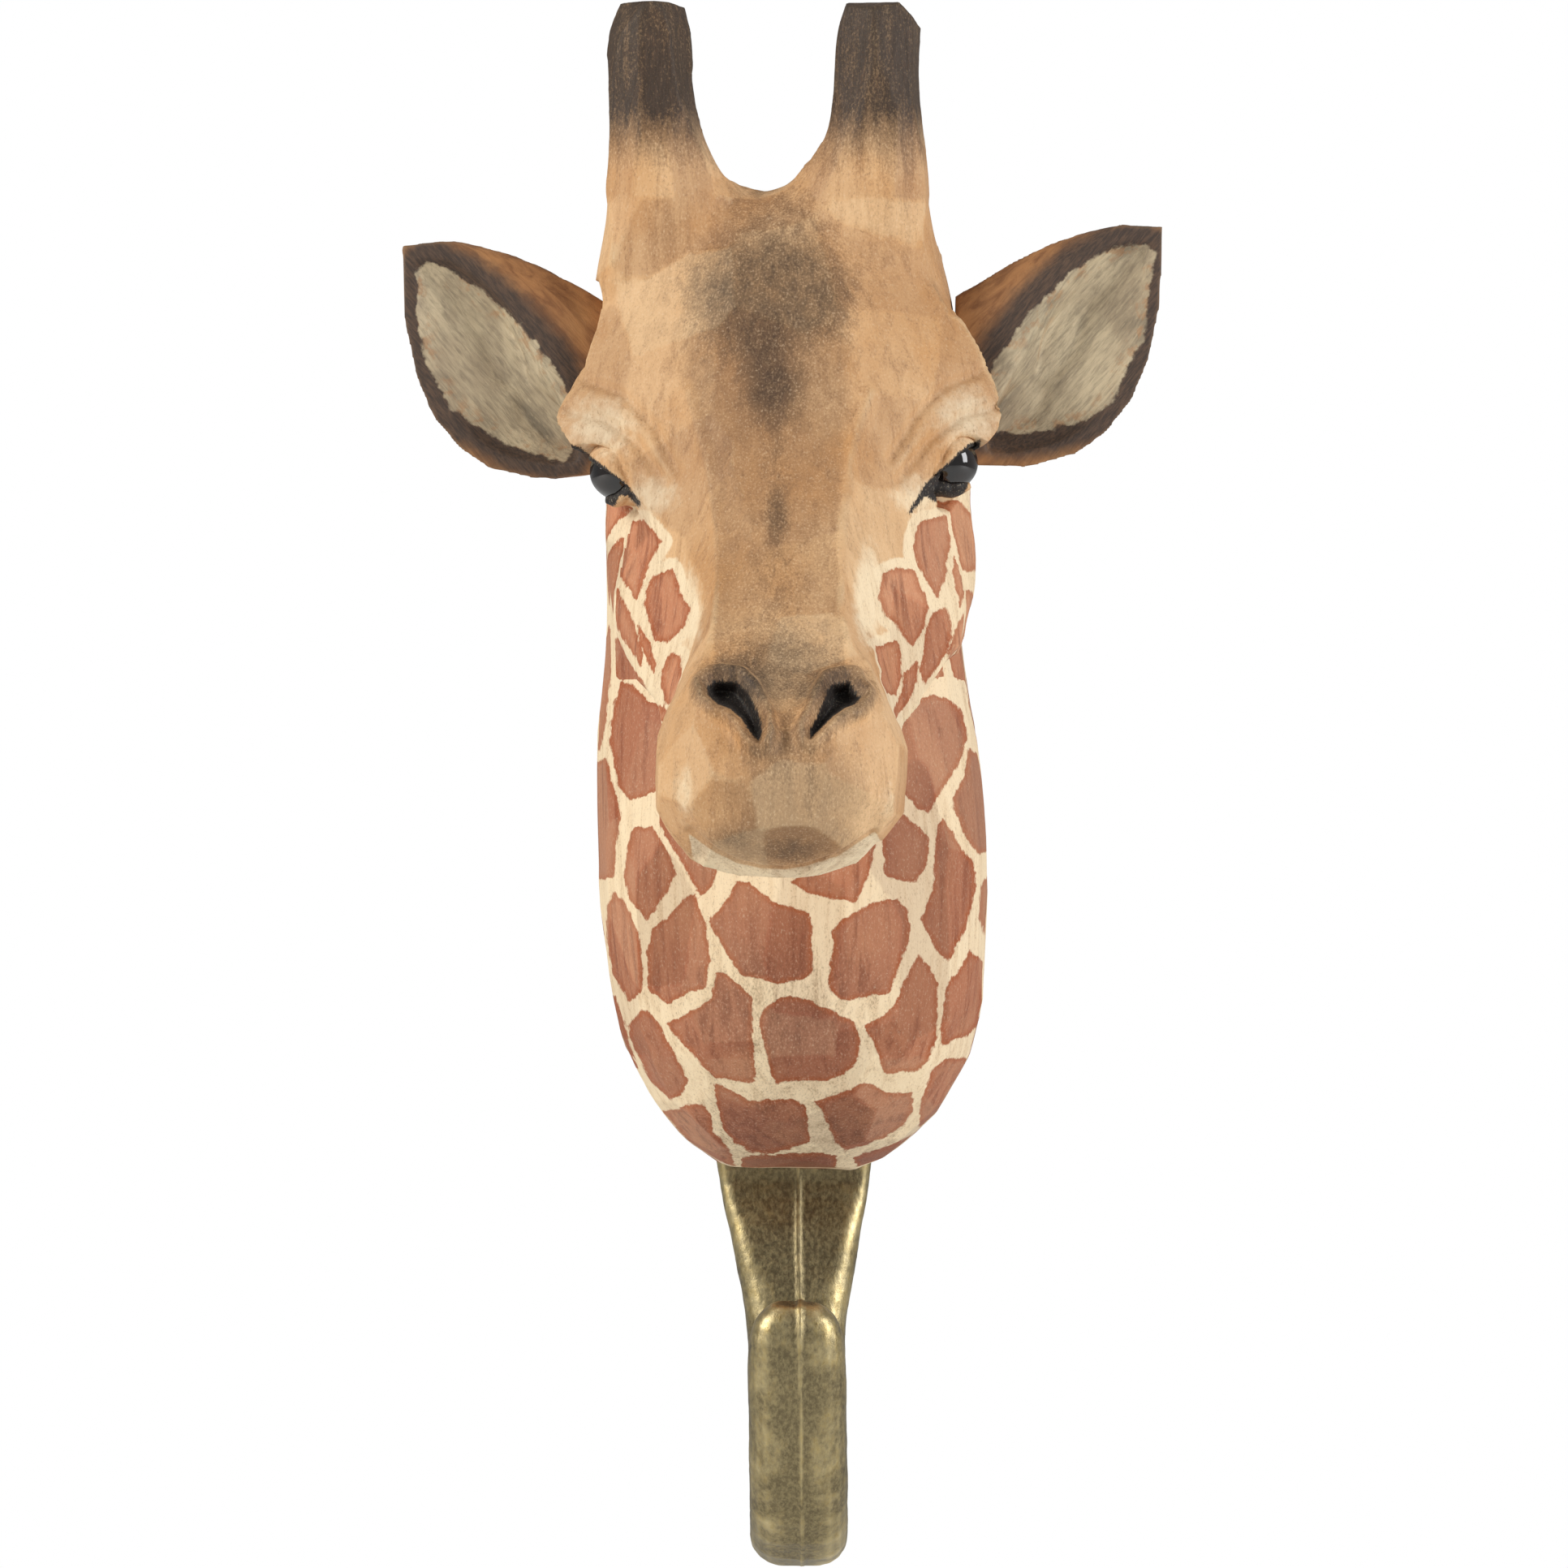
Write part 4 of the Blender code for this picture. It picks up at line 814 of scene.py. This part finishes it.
def build_eye(side):
    """A glass dome with a slightly steeper cornea, closed behind by a flat seat."""
    sign = -1 if side == "left" else 1
    facing = Vector((sign * EYE_FACING[0], -EYE_FACING[1], EYE_FACING[2])).normalized()
    x, depth, z = EYE_BALLS[side]
    centre = Vector((x, -depth, z)) * MM
    turn = facing.to_track_quat("Z", "X").to_matrix()
    rings, around, dome, cornea = 40, 64, math.radians(118), 0.18
    bm = bmesh.new()
    rows = []
    for i in range(1, rings):
        polar = dome * i / (rings - 1)
        radius = EYE_RADIUS + cornea * math.exp(-((polar / 0.75) ** 4)) - cornea
        row = []
        for j in range(around):
            turned = math.tau * j / around
            across = math.sin(polar)
            local = Vector((across * math.cos(turned), across * math.sin(turned), math.cos(polar)))
            row.append(bm.verts.new(centre + turn @ local * radius * MM))
        rows.append(row)
    for lower, upper in zip(rows, rows[1:]):
        for j in range(around):
            k = (j + 1) % around
            bm.faces.new((lower[j], upper[j], upper[k], lower[k]))
    tip = bm.verts.new(centre + facing * EYE_RADIUS * MM)
    for j in range(around):
        bm.faces.new((tip, rows[0][j], rows[0][(j + 1) % around]))
    bm.faces.new(rows[-1])
    bmesh.ops.recalc_face_normals(bm, faces=bm.faces[:])
    mesh = finished_mesh(bm, "eye_glass_" + side)
    mesh.shade_smooth()
    mesh.set_sharp_from_angle(angle=math.radians(40))
    return add_object("eye_glass_" + side, mesh)


def build_hook():
    """The casting: as the solid where it is screwed on, elsewhere rounded, rough, with a parting line."""
    hook, mesh, edges, raw = skin_over("hook_brass", "hook_casting", HOOK_VOXEL)
    plate = smoothstep(-44, -42, raw[:, 2])
    points = mixed(smooth(raw, edges, 16, keep_size=True), raw, plate)
    set_points(mesh, points)
    normals = normals_of(mesh)
    middle = 0.35 + 0.012 * np.clip(-44.8 - points[:, 2], 0, 60)
    across = points[:, 0] - middle - 0.06 * np.sin(points[:, 2] * 0.5)
    level = 1 - np.abs(normals[:, 0])
    ridge = 0.3 * np.exp(-(across / 0.3) ** 2) * smoothstep(0.3, 0.8, level)
    nodule = np.zeros(len(points))
    for *place, radius, height in HOOK_NODULES:
        nodule += height * np.exp(-(np.linalg.norm(points - place, axis=1) / radius) ** 2)
    shape_edge = relief(points, normals, edges, 60)
    random = np.random.default_rng(SEED + 2)
    lumps = smooth(random.normal(size=len(points)), edges, 150)
    pits = smooth(random.normal(size=len(points)), edges, 4)
    surface = 0.045 * lumps / lumps.std() + 0.012 * pits / pits.std()
    points = points + normals * ((ridge + nodule + surface) * (1 - plate))[:, None]
    set_points(mesh, points)
    normals = normals_of(mesh)
    store(mesh, edge=shape_edge, fine_edge=relief(points, normals, edges, 8))
    return hook


class Nodes:
    """Short calls for building one material's node tree."""

    def __init__(self, name):
        self.material = bpy.data.materials.new(name)
        self.material.use_nodes = True
        self.tree = self.material.node_tree
        self.shader = self.tree.nodes["Principled BSDF"]

    def put(self, socket, value):
        """Links a node's output to the socket, or sets a number, or a colour by its code."""
        if isinstance(value, bpy.types.NodeSocket):
            self.tree.links.new(value, socket)
        else:
            socket.default_value = linear(value) if isinstance(value, str) else value

    def make(self, kind, **settings):
        node = self.tree.nodes.new(kind)
        for key, value in settings.items():
            setattr(node, key, value)
        return node

    def attribute(self, name):
        return self.make("ShaderNodeAttribute", attribute_name=name).outputs["Fac"]

    def place(self, scale, lean=0.0):
        """Object coordinates turned by lean in the front plane, then counted along each axis per mm."""
        mapping = self.make("ShaderNodeMapping", vector_type="TEXTURE")
        self.tree.links.new(self.make("ShaderNodeTexCoord").outputs["Object"], mapping.inputs["Vector"])
        mapping.inputs["Rotation"].default_value = (0, lean, 0)
        mapping.inputs["Scale"].default_value = [MM / s for s in scale]
        return mapping.outputs["Vector"]

    def noise(self, scale, detail=3.0, roughness=0.55, distortion=0.0, lean=0.0):
        node = self.make("ShaderNodeTexNoise")
        self.put(node.inputs["Vector"], self.place(scale, lean))
        node.inputs["Scale"].default_value = 1.0
        node.inputs["Detail"].default_value = detail
        node.inputs["Roughness"].default_value = roughness
        node.inputs["Distortion"].default_value = distortion
        return node.outputs["Fac"]

    def maths(self, operation, a, b=0.0, c=0.0):
        node = self.make("ShaderNodeMath", operation=operation)
        for socket, value in zip(node.inputs, (a, b, c)):
            self.put(socket, value)
        return node.outputs[0]

    def ramp(self, value, low, high, out_low=0.0, out_high=1.0, soft=True):
        node = self.make("ShaderNodeMapRange", interpolation_type="SMOOTHSTEP" if soft else "LINEAR")
        settings = {"Value": value, "From Min": low, "From Max": high, "To Min": out_low, "To Max": out_high}
        for key, setting in settings.items():
            self.put(node.inputs[key], setting)
        return node.outputs["Result"]

    def sway(self, value, low, amount):
        """The value from low to 1 - low, stretched to lie between -amount and amount."""
        return self.ramp(value, low, 1 - low, -amount, amount, False)

    def mix(self, factor, a, b):
        node = self.make("ShaderNodeMix", data_type="RGBA")
        self.put(node.inputs[0], factor)
        self.put(node.inputs[6], a)
        self.put(node.inputs[7], b)
        return node.outputs[2]

    def pair(self, value, low, high, first, second):
        """One colour up to low, the other from high on."""
        return self.mix(self.ramp(value, low, high), first, second)

    def wash(self, under, value, low, high, amount, code):
        """A colour laid over another, rising to the amount as the value goes from low to high."""
        return self.mix(self.ramp(value, low, high, 0, amount), under, code)

    def finish(self, colour, roughness, bumps=(), **fixed):
        self.put(self.shader.inputs["Base Color"], colour)
        self.put(self.shader.inputs["Roughness"], roughness)
        normal = None
        for height, distance, strength in bumps:
            bump = self.make("ShaderNodeBump")
            bump.inputs["Strength"].default_value = strength
            bump.inputs["Distance"].default_value = distance * MM
            self.put(bump.inputs["Height"], height)
            if normal:
                self.put(bump.inputs["Normal"], normal)
            normal = bump.outputs["Normal"]
        if normal:
            self.put(self.shader.inputs["Normal"], normal)
        for key, value in fixed.items():
            self.shader.inputs[key.replace("_", " ")].default_value = value
        return self.material


def painted_wood(name):
    """Thin paint over knife-cut lime wood: tan, cream, brown spots, airbrushed shade, black accents, painted
    shade on the lower neck, and ridges lightened partly as wear, partly as a painted highlight.
    """
    m = Nodes(name)
    broad = m.noise((0.09, 0.09, 0.05), 3)
    streak = m.noise((0.75, 0.75, 0.07), 5, 0.6, 0.6)
    fine_streak = m.noise((3.2, 3.2, 0.22), 4, 0.65)
    speckle = m.noise((5.5, 5.5, 3.2), 2, 0.7)
    wobble = m.noise((0.8, 0.8, 0.8), 4, 0.6)
    fuzz = m.noise((4.5, 4.5, 1.5), 3, 0.7)

    tan = m.pair(broad, 0.35, 0.65, "CA9B6A", "D9AF80")
    tan = m.wash(tan, m.noise((0.16, 0.16, 0.1), 3), 0.45, 0.7, 0.55, "C68F56")
    tan = m.wash(tan, streak, 0.42, 0.7, 0.5, "B08358")
    cream = m.pair(streak, 0.4, 0.7, "EED8B4", "DFC5A0")
    pale = m.maths("ADD", m.attribute("cream"), m.sway(wobble, 0.2, 0.18))
    colour = m.mix(m.ramp(pale, 0.3, 0.8), tan, cream)

    stipple = m.sway(m.noise((4.2, 4.2, 2.6), 3, 0.75), 0.3, 0.5)
    warm = m.maths("ADD", m.attribute("brown"), m.sway(streak, 0.25, 0.2))
    warm = m.ramp(m.maths("MULTIPLY_ADD", stipple, 0.45, warm), 0.05, 1.0, 0.0, 0.85, False)
    colour = m.mix(warm, colour, "8F6E4D")

    edge_noise = m.sway(wobble, 0.2, 0.3)
    fuzz_noise = m.sway(fuzz, 0.25, 0.09)
    depth_in = m.maths("ADD", m.maths("ADD", m.attribute("spots"), edge_noise), fuzz_noise)
    spot = m.ramp(depth_in, 0.2, 0.0)
    outline = m.maths("MULTIPLY", m.ramp(depth_in, -0.7, 0.0), spot)
    tone = m.attribute("tone")
    brown = m.mix(m.ramp(tone, -0.8, 1.6, soft=False), "CB8862", "864B35")
    brown = m.wash(brown, streak, 0.45, 0.7, 0.8, "84452B")
    brown = m.wash(brown, broad, 0.5, 0.75, 0.6, "BE845E")
    brown = m.mix(m.maths("MULTIPLY", outline, 0.7), brown, "A04E20")
    brown = m.wash(brown, speckle, 0.58, 0.75, 0.4, "C99A80")
    colour = m.mix(spot, colour, brown)

    facet = m.attribute("facet")
    amount = m.ramp(spot, 0, 1, 0.25, 0.36, False)
    colour = m.mix(m.maths("MULTIPLY", m.ramp(facet, 0.55, 0.05), amount), colour, "7C4F33")
    amount = m.ramp(spot, 0, 1, 0.2, 0.1, False)
    colour = m.mix(m.maths("MULTIPLY", m.ramp(facet, 0.5, 0.95), amount), colour, "F0D6AC")
    # Ridges lighter: partly worn paint, partly a painted highlight that lets the knife-cut facets read.
    colour = m.wash(colour, m.attribute("edge"), 0.06, 0.3, 0.25, "E2CDA4")

    # Black airbrushed shade on the head and horn tips, and painted shade on the lower neck: both come from
    # the dark attribute.
    shade = m.maths("ADD", m.attribute("dark"), m.sway(streak, 0.25, 0.14))
    shade = m.maths("MULTIPLY_ADD", stipple, 0.35, shade)
    shade = m.ramp(shade, 0.1, 1.0, 0.0, 0.95, False)
    black_airbrush_and_shade = m.pair(fine_streak, 0.35, 0.65, "211C19", "342B25")
    colour = m.mix(shade, colour, black_airbrush_and_shade)

    black = m.ramp(m.maths("ADD", m.attribute("ink"), m.sway(fuzz, 0.2, 0.3)), 0.12, -0.1)
    colour = m.mix(black, colour, "231F1D")
    colour = m.wash(colour, stipple, 0.1, 0.5, 0.24, "6E4A30")
    light_dots = m.maths("MULTIPLY", m.ramp(stipple, -0.1, -0.5, 0, 0.22), m.ramp(shade, 0.3, 0.9, 1.0, 0.1))
    colour = m.mix(light_dots, colour, "F0DFC0")
    pores = m.ramp(fine_streak, 0.6, 0.74, 0, 0.3)
    colour = m.mix(pores, colour, "6E4A30")
    lime = m.pair(streak, 0.4, 0.7, "DCC49A", "C4A573")
    colour = m.mix(m.attribute("bare"), colour, lime)
    roughness = m.ramp(speckle, 0.3, 0.7, 0.52, 0.68, False)
    bumps = ((fine_streak, 0.16, 0.5), (speckle, 0.06, 0.45), (streak, 0.3, 0.3))
    return m.finish(colour, roughness, bumps, Specular_IOR_Level=0.32)


def ear_paint(name, lean):
    """Dark rim, grey hollow with brush streaks dragged from root to tip, brown back."""
    m = Nodes(name)
    streak = m.noise((0.9, 0.9, 0.12), 5, 0.65, 0.8, lean)
    fine = m.noise((4.0, 4.0, 0.5), 4, 0.65, 0.0, lean)
    broad = m.noise((0.16, 0.16, 0.12), 3)
    speckle = m.noise((5.0, 5.0, 4.0), 2, 0.7)
    wobble = m.noise((0.7, 0.7, 0.7), 4, 0.6)
    bowl = m.maths("ADD", m.attribute("bowl"), m.sway(wobble, 0.2, 0.5))
    back = m.pair(streak, 0.35, 0.7, "A5754A", "7B5132")
    back = m.wash(back, broad, 0.5, 0.75, 0.5, "BC8A58")
    rim = m.pair(fine, 0.35, 0.7, "41362F", "5E4A3C")
    hair = m.noise((2.6, 2.6, 0.35), 6, 0.7, 0.3, lean)
    cloud = m.noise((0.22, 0.22, 0.09), 3, 0.5, 0.3, lean)
    hollow = m.pair(broad, 0.35, 0.65, "C9B898", "A8977C")
    hollow = m.wash(hollow, hair, 0.4, 0.68, 0.5, "6A5F50")
    hollow = m.wash(hollow, streak, 0.55, 0.72, 0.35, "5A5043")
    hollow = m.wash(hollow, cloud, 0.5, 0.68, 0.6, "4A4339")
    hollow = m.wash(hollow, fine, 0.56, 0.7, 0.3, "D8C6A2")
    warm = m.maths("MULTIPLY", m.ramp(bowl, -2.4, -0.4), m.ramp(wobble, 0.5, 0.62))
    hollow = m.mix(m.maths("MULTIPLY", warm, 0.4), hollow, "A9713F")
    colour = m.mix(m.ramp(bowl, 1.7, 4.2), rim, back)
    colour = m.mix(m.ramp(bowl, 0.15, -0.25), colour, hollow)
    colour = m.wash(colour, m.attribute("facet"), 0.5, 0.95, 0.2, "B98A5C")
    colour = m.wash(colour, m.attribute("edge"), 0.07, 0.25, 0.45, "8A6C4E")
    roughness = m.ramp(speckle, 0.3, 0.7, 0.55, 0.72, False)
    return m.finish(colour, roughness, ((fine, 0.14, 0.5), (speckle, 0.05, 0.4)), Specular_IOR_Level=0.3)


def aged_brass(name):
    """Cast brass darkened in the hollows and rubbed bright along its edges."""
    m = Nodes(name)
    cloud = m.noise((0.22, 0.22, 0.14), 5, 0.6, 0.4)
    grain = m.noise((2.4, 2.4, 1.6), 4, 0.7)
    fleck = m.noise((1.1, 1.1, 0.6), 5, 0.75)
    rub = m.maths("ADD", m.attribute("edge"), m.sway(cloud, 0.3, 0.18))
    rub = m.maths("ADD", rub, m.sway(fleck, 0.3, 0.1))
    fine = m.maths("MULTIPLY", m.attribute("fine_edge"), 1.6)
    rub = m.ramp(m.maths("ADD", rub, fine), 0.0, 0.5)
    dark = m.pair(grain, 0.35, 0.7, "6E634B", "988B68")
    bright = m.pair(fleck, 0.35, 0.7, "DCCB9C", "B5A06C")
    colour = m.mix(rub, dark, bright)
    colour = m.wash(colour, fleck, 0.64, 0.74, 0.7, "342C20")
    roughness = m.ramp(grain, 0.3, 0.7, 0.34, 0.52, False)
    return m.finish(colour, roughness, ((grain, 0.07, 0.5), (fleck, 0.16, 0.4)), Metallic=1.0)


def eye_black(name):
    """Gloss black with faint brown clouds and smears."""
    m = Nodes(name)
    cloud = m.noise((0.5, 0.5, 0.5), 2)
    colour = m.pair(cloud, 0.3, 0.7, "0C0A0A", "1C1411")
    smear = m.noise((1.5, 1.5, 1.5), 2)
    return m.finish(colour, m.ramp(smear, 0.3, 0.7, 0.04, 0.09, False), Coat_Weight=0.6, Coat_Roughness=0.03)


def plain_wood(name):
    """Bare birch with fine grain running front to back."""
    m = Nodes(name)
    grain = m.noise((2.6, 0.3, 2.6), 5, 0.6, 0.5)
    broad = m.noise((0.3, 0.1, 0.3), 2)
    colour = m.pair(grain, 0.35, 0.7, "DBC08E", "B08B58")
    colour = m.wash(colour, broad, 0.4, 0.7, 0.4, "C79F66")
    return m.finish(colour, m.ramp(grain, 0.3, 0.7, 0.62, 0.78, False), ((grain, 0.12, 0.5),))


def zinc(name):
    """Bright zinc plate with a brushed grain and dull spots."""
    m = Nodes(name)
    brushed = m.noise((6.0, 6.0, 0.4), 4, 0.6)
    dull = m.noise((0.4, 0.4, 0.4), 4)
    colour = m.pair(brushed, 0.35, 0.7, "B9BBB8", "8F918E")
    colour = m.wash(colour, dull, 0.5, 0.7, 0.5, "73746F")
    roughness = m.ramp(dull, 0.35, 0.65, 0.28, 0.46, False)
    return m.finish(colour, roughness, ((brushed, 0.03, 0.4),), Metallic=1.0)


def dress(obj, material):
    """Gives a new object its one material."""
    obj.data.materials.clear()
    obj.data.materials.append(material)


def dress_node(name, material):
    """Gives a carried-over CAD node its material by its slots, leaving its mesh alone."""
    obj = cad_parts[name]
    for entry in obj.material_slots:
        entry.material = material


def join_frame(obj, material, node):
    """Puts a detailed piece in the place of its CAD node."""
    dress(obj, material)
    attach(obj, "root")
    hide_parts(node)


def soft_light(name, location, power, colour):
    """An area light aimed at the object."""
    data = bpy.data.lights.new(name, "AREA")
    data.shape = "RECTANGLE"
    data.size, data.size_y = LIGHT_SIZE
    data.energy = power
    data.color = colour
    obj = add_object(name, data)
    obj.location = location
    obj.rotation_euler = (LIGHT_AIM - Vector(location)).to_track_quat("-Z", "Y").to_euler()


def build_stage():
    """A pale floor, a white background that fills the shadows, two soft lights and the camera."""
    bm = bmesh.new()
    place = Matrix.Translation((0, 0, -FLOOR_DROP))
    bmesh.ops.create_grid(bm, x_segments=1, y_segments=1, size=FLOOR_HALF, matrix=place)
    floor = add_object("floor", finished_mesh(bm, "floor"))
    m = Nodes("pale_floor")
    colour = m.mix(m.noise((0.01, 0.01, 0.01), 2), "ECECEA", "F4F4F2")
    dress(floor, m.finish(colour, 0.9))

    world = bpy.data.worlds.new("studio")
    bpy.context.scene.world = world
    world.use_nodes = True
    tree = world.node_tree
    tree.nodes["Background"].inputs["Color"].default_value = (1, 1, 1, 1)
    seen = tree.nodes.new("ShaderNodeLightPath").outputs["Is Camera Ray"]
    strength = tree.nodes.new("ShaderNodeMapRange")
    strength.inputs["To Min"].default_value = WORLD_FILL
    tree.links.new(seen, strength.inputs["Value"])
    tree.links.new(strength.outputs["Result"], tree.nodes["Background"].inputs["Strength"])
    bpy.context.scene.view_settings.view_transform = "Standard"

    soft_light("key_left", (-0.95, -0.5, 0.55), 11.0, (1.0, 0.98, 0.95))
    soft_light("fill_right", (0.95, -0.5, 0.4), 9.0, (0.98, 0.98, 1.0))

    data = bpy.data.cameras.new("camera")
    data.lens = LENS
    data.sensor_width = SENSOR
    data.clip_end = 10.0
    camera = add_object("camera", data)
    camera.location = (VIEW_X * MM, -VIEW_DISTANCE * MM, 0)
    camera.rotation_euler = (math.radians(90), 0, 0)
    bpy.context.scene.camera = camera


PAINT = painted_wood("painted_carving")
EAR_PAINTS = {"left": ear_paint("ear_paint_left", -0.7), "right": ear_paint("ear_paint_right", 0.7)}
BRASS = aged_brass("aged_brass")
GLASS = eye_black("eye_black")

join_frame(build_neck(), PAINT, "neck_block")
join_frame(build_head(), PAINT, "head_block")
for side in ("left", "right"):
    join_frame(build_ear(side), EAR_PAINTS[side], "ear_" + side)
    join_frame(build_eye(side), GLASS, "eye_" + side)
join_frame(build_hook(), BRASS, "hook_casting")

WOOD = plain_wood("birch_dowel")
for name in DOWEL_NODES:
    dress_node(name, WOOD)
STEEL = zinc("zinc_plate")
for name in STEEL_NODES:
    dress_node(name, STEEL)

build_stage()
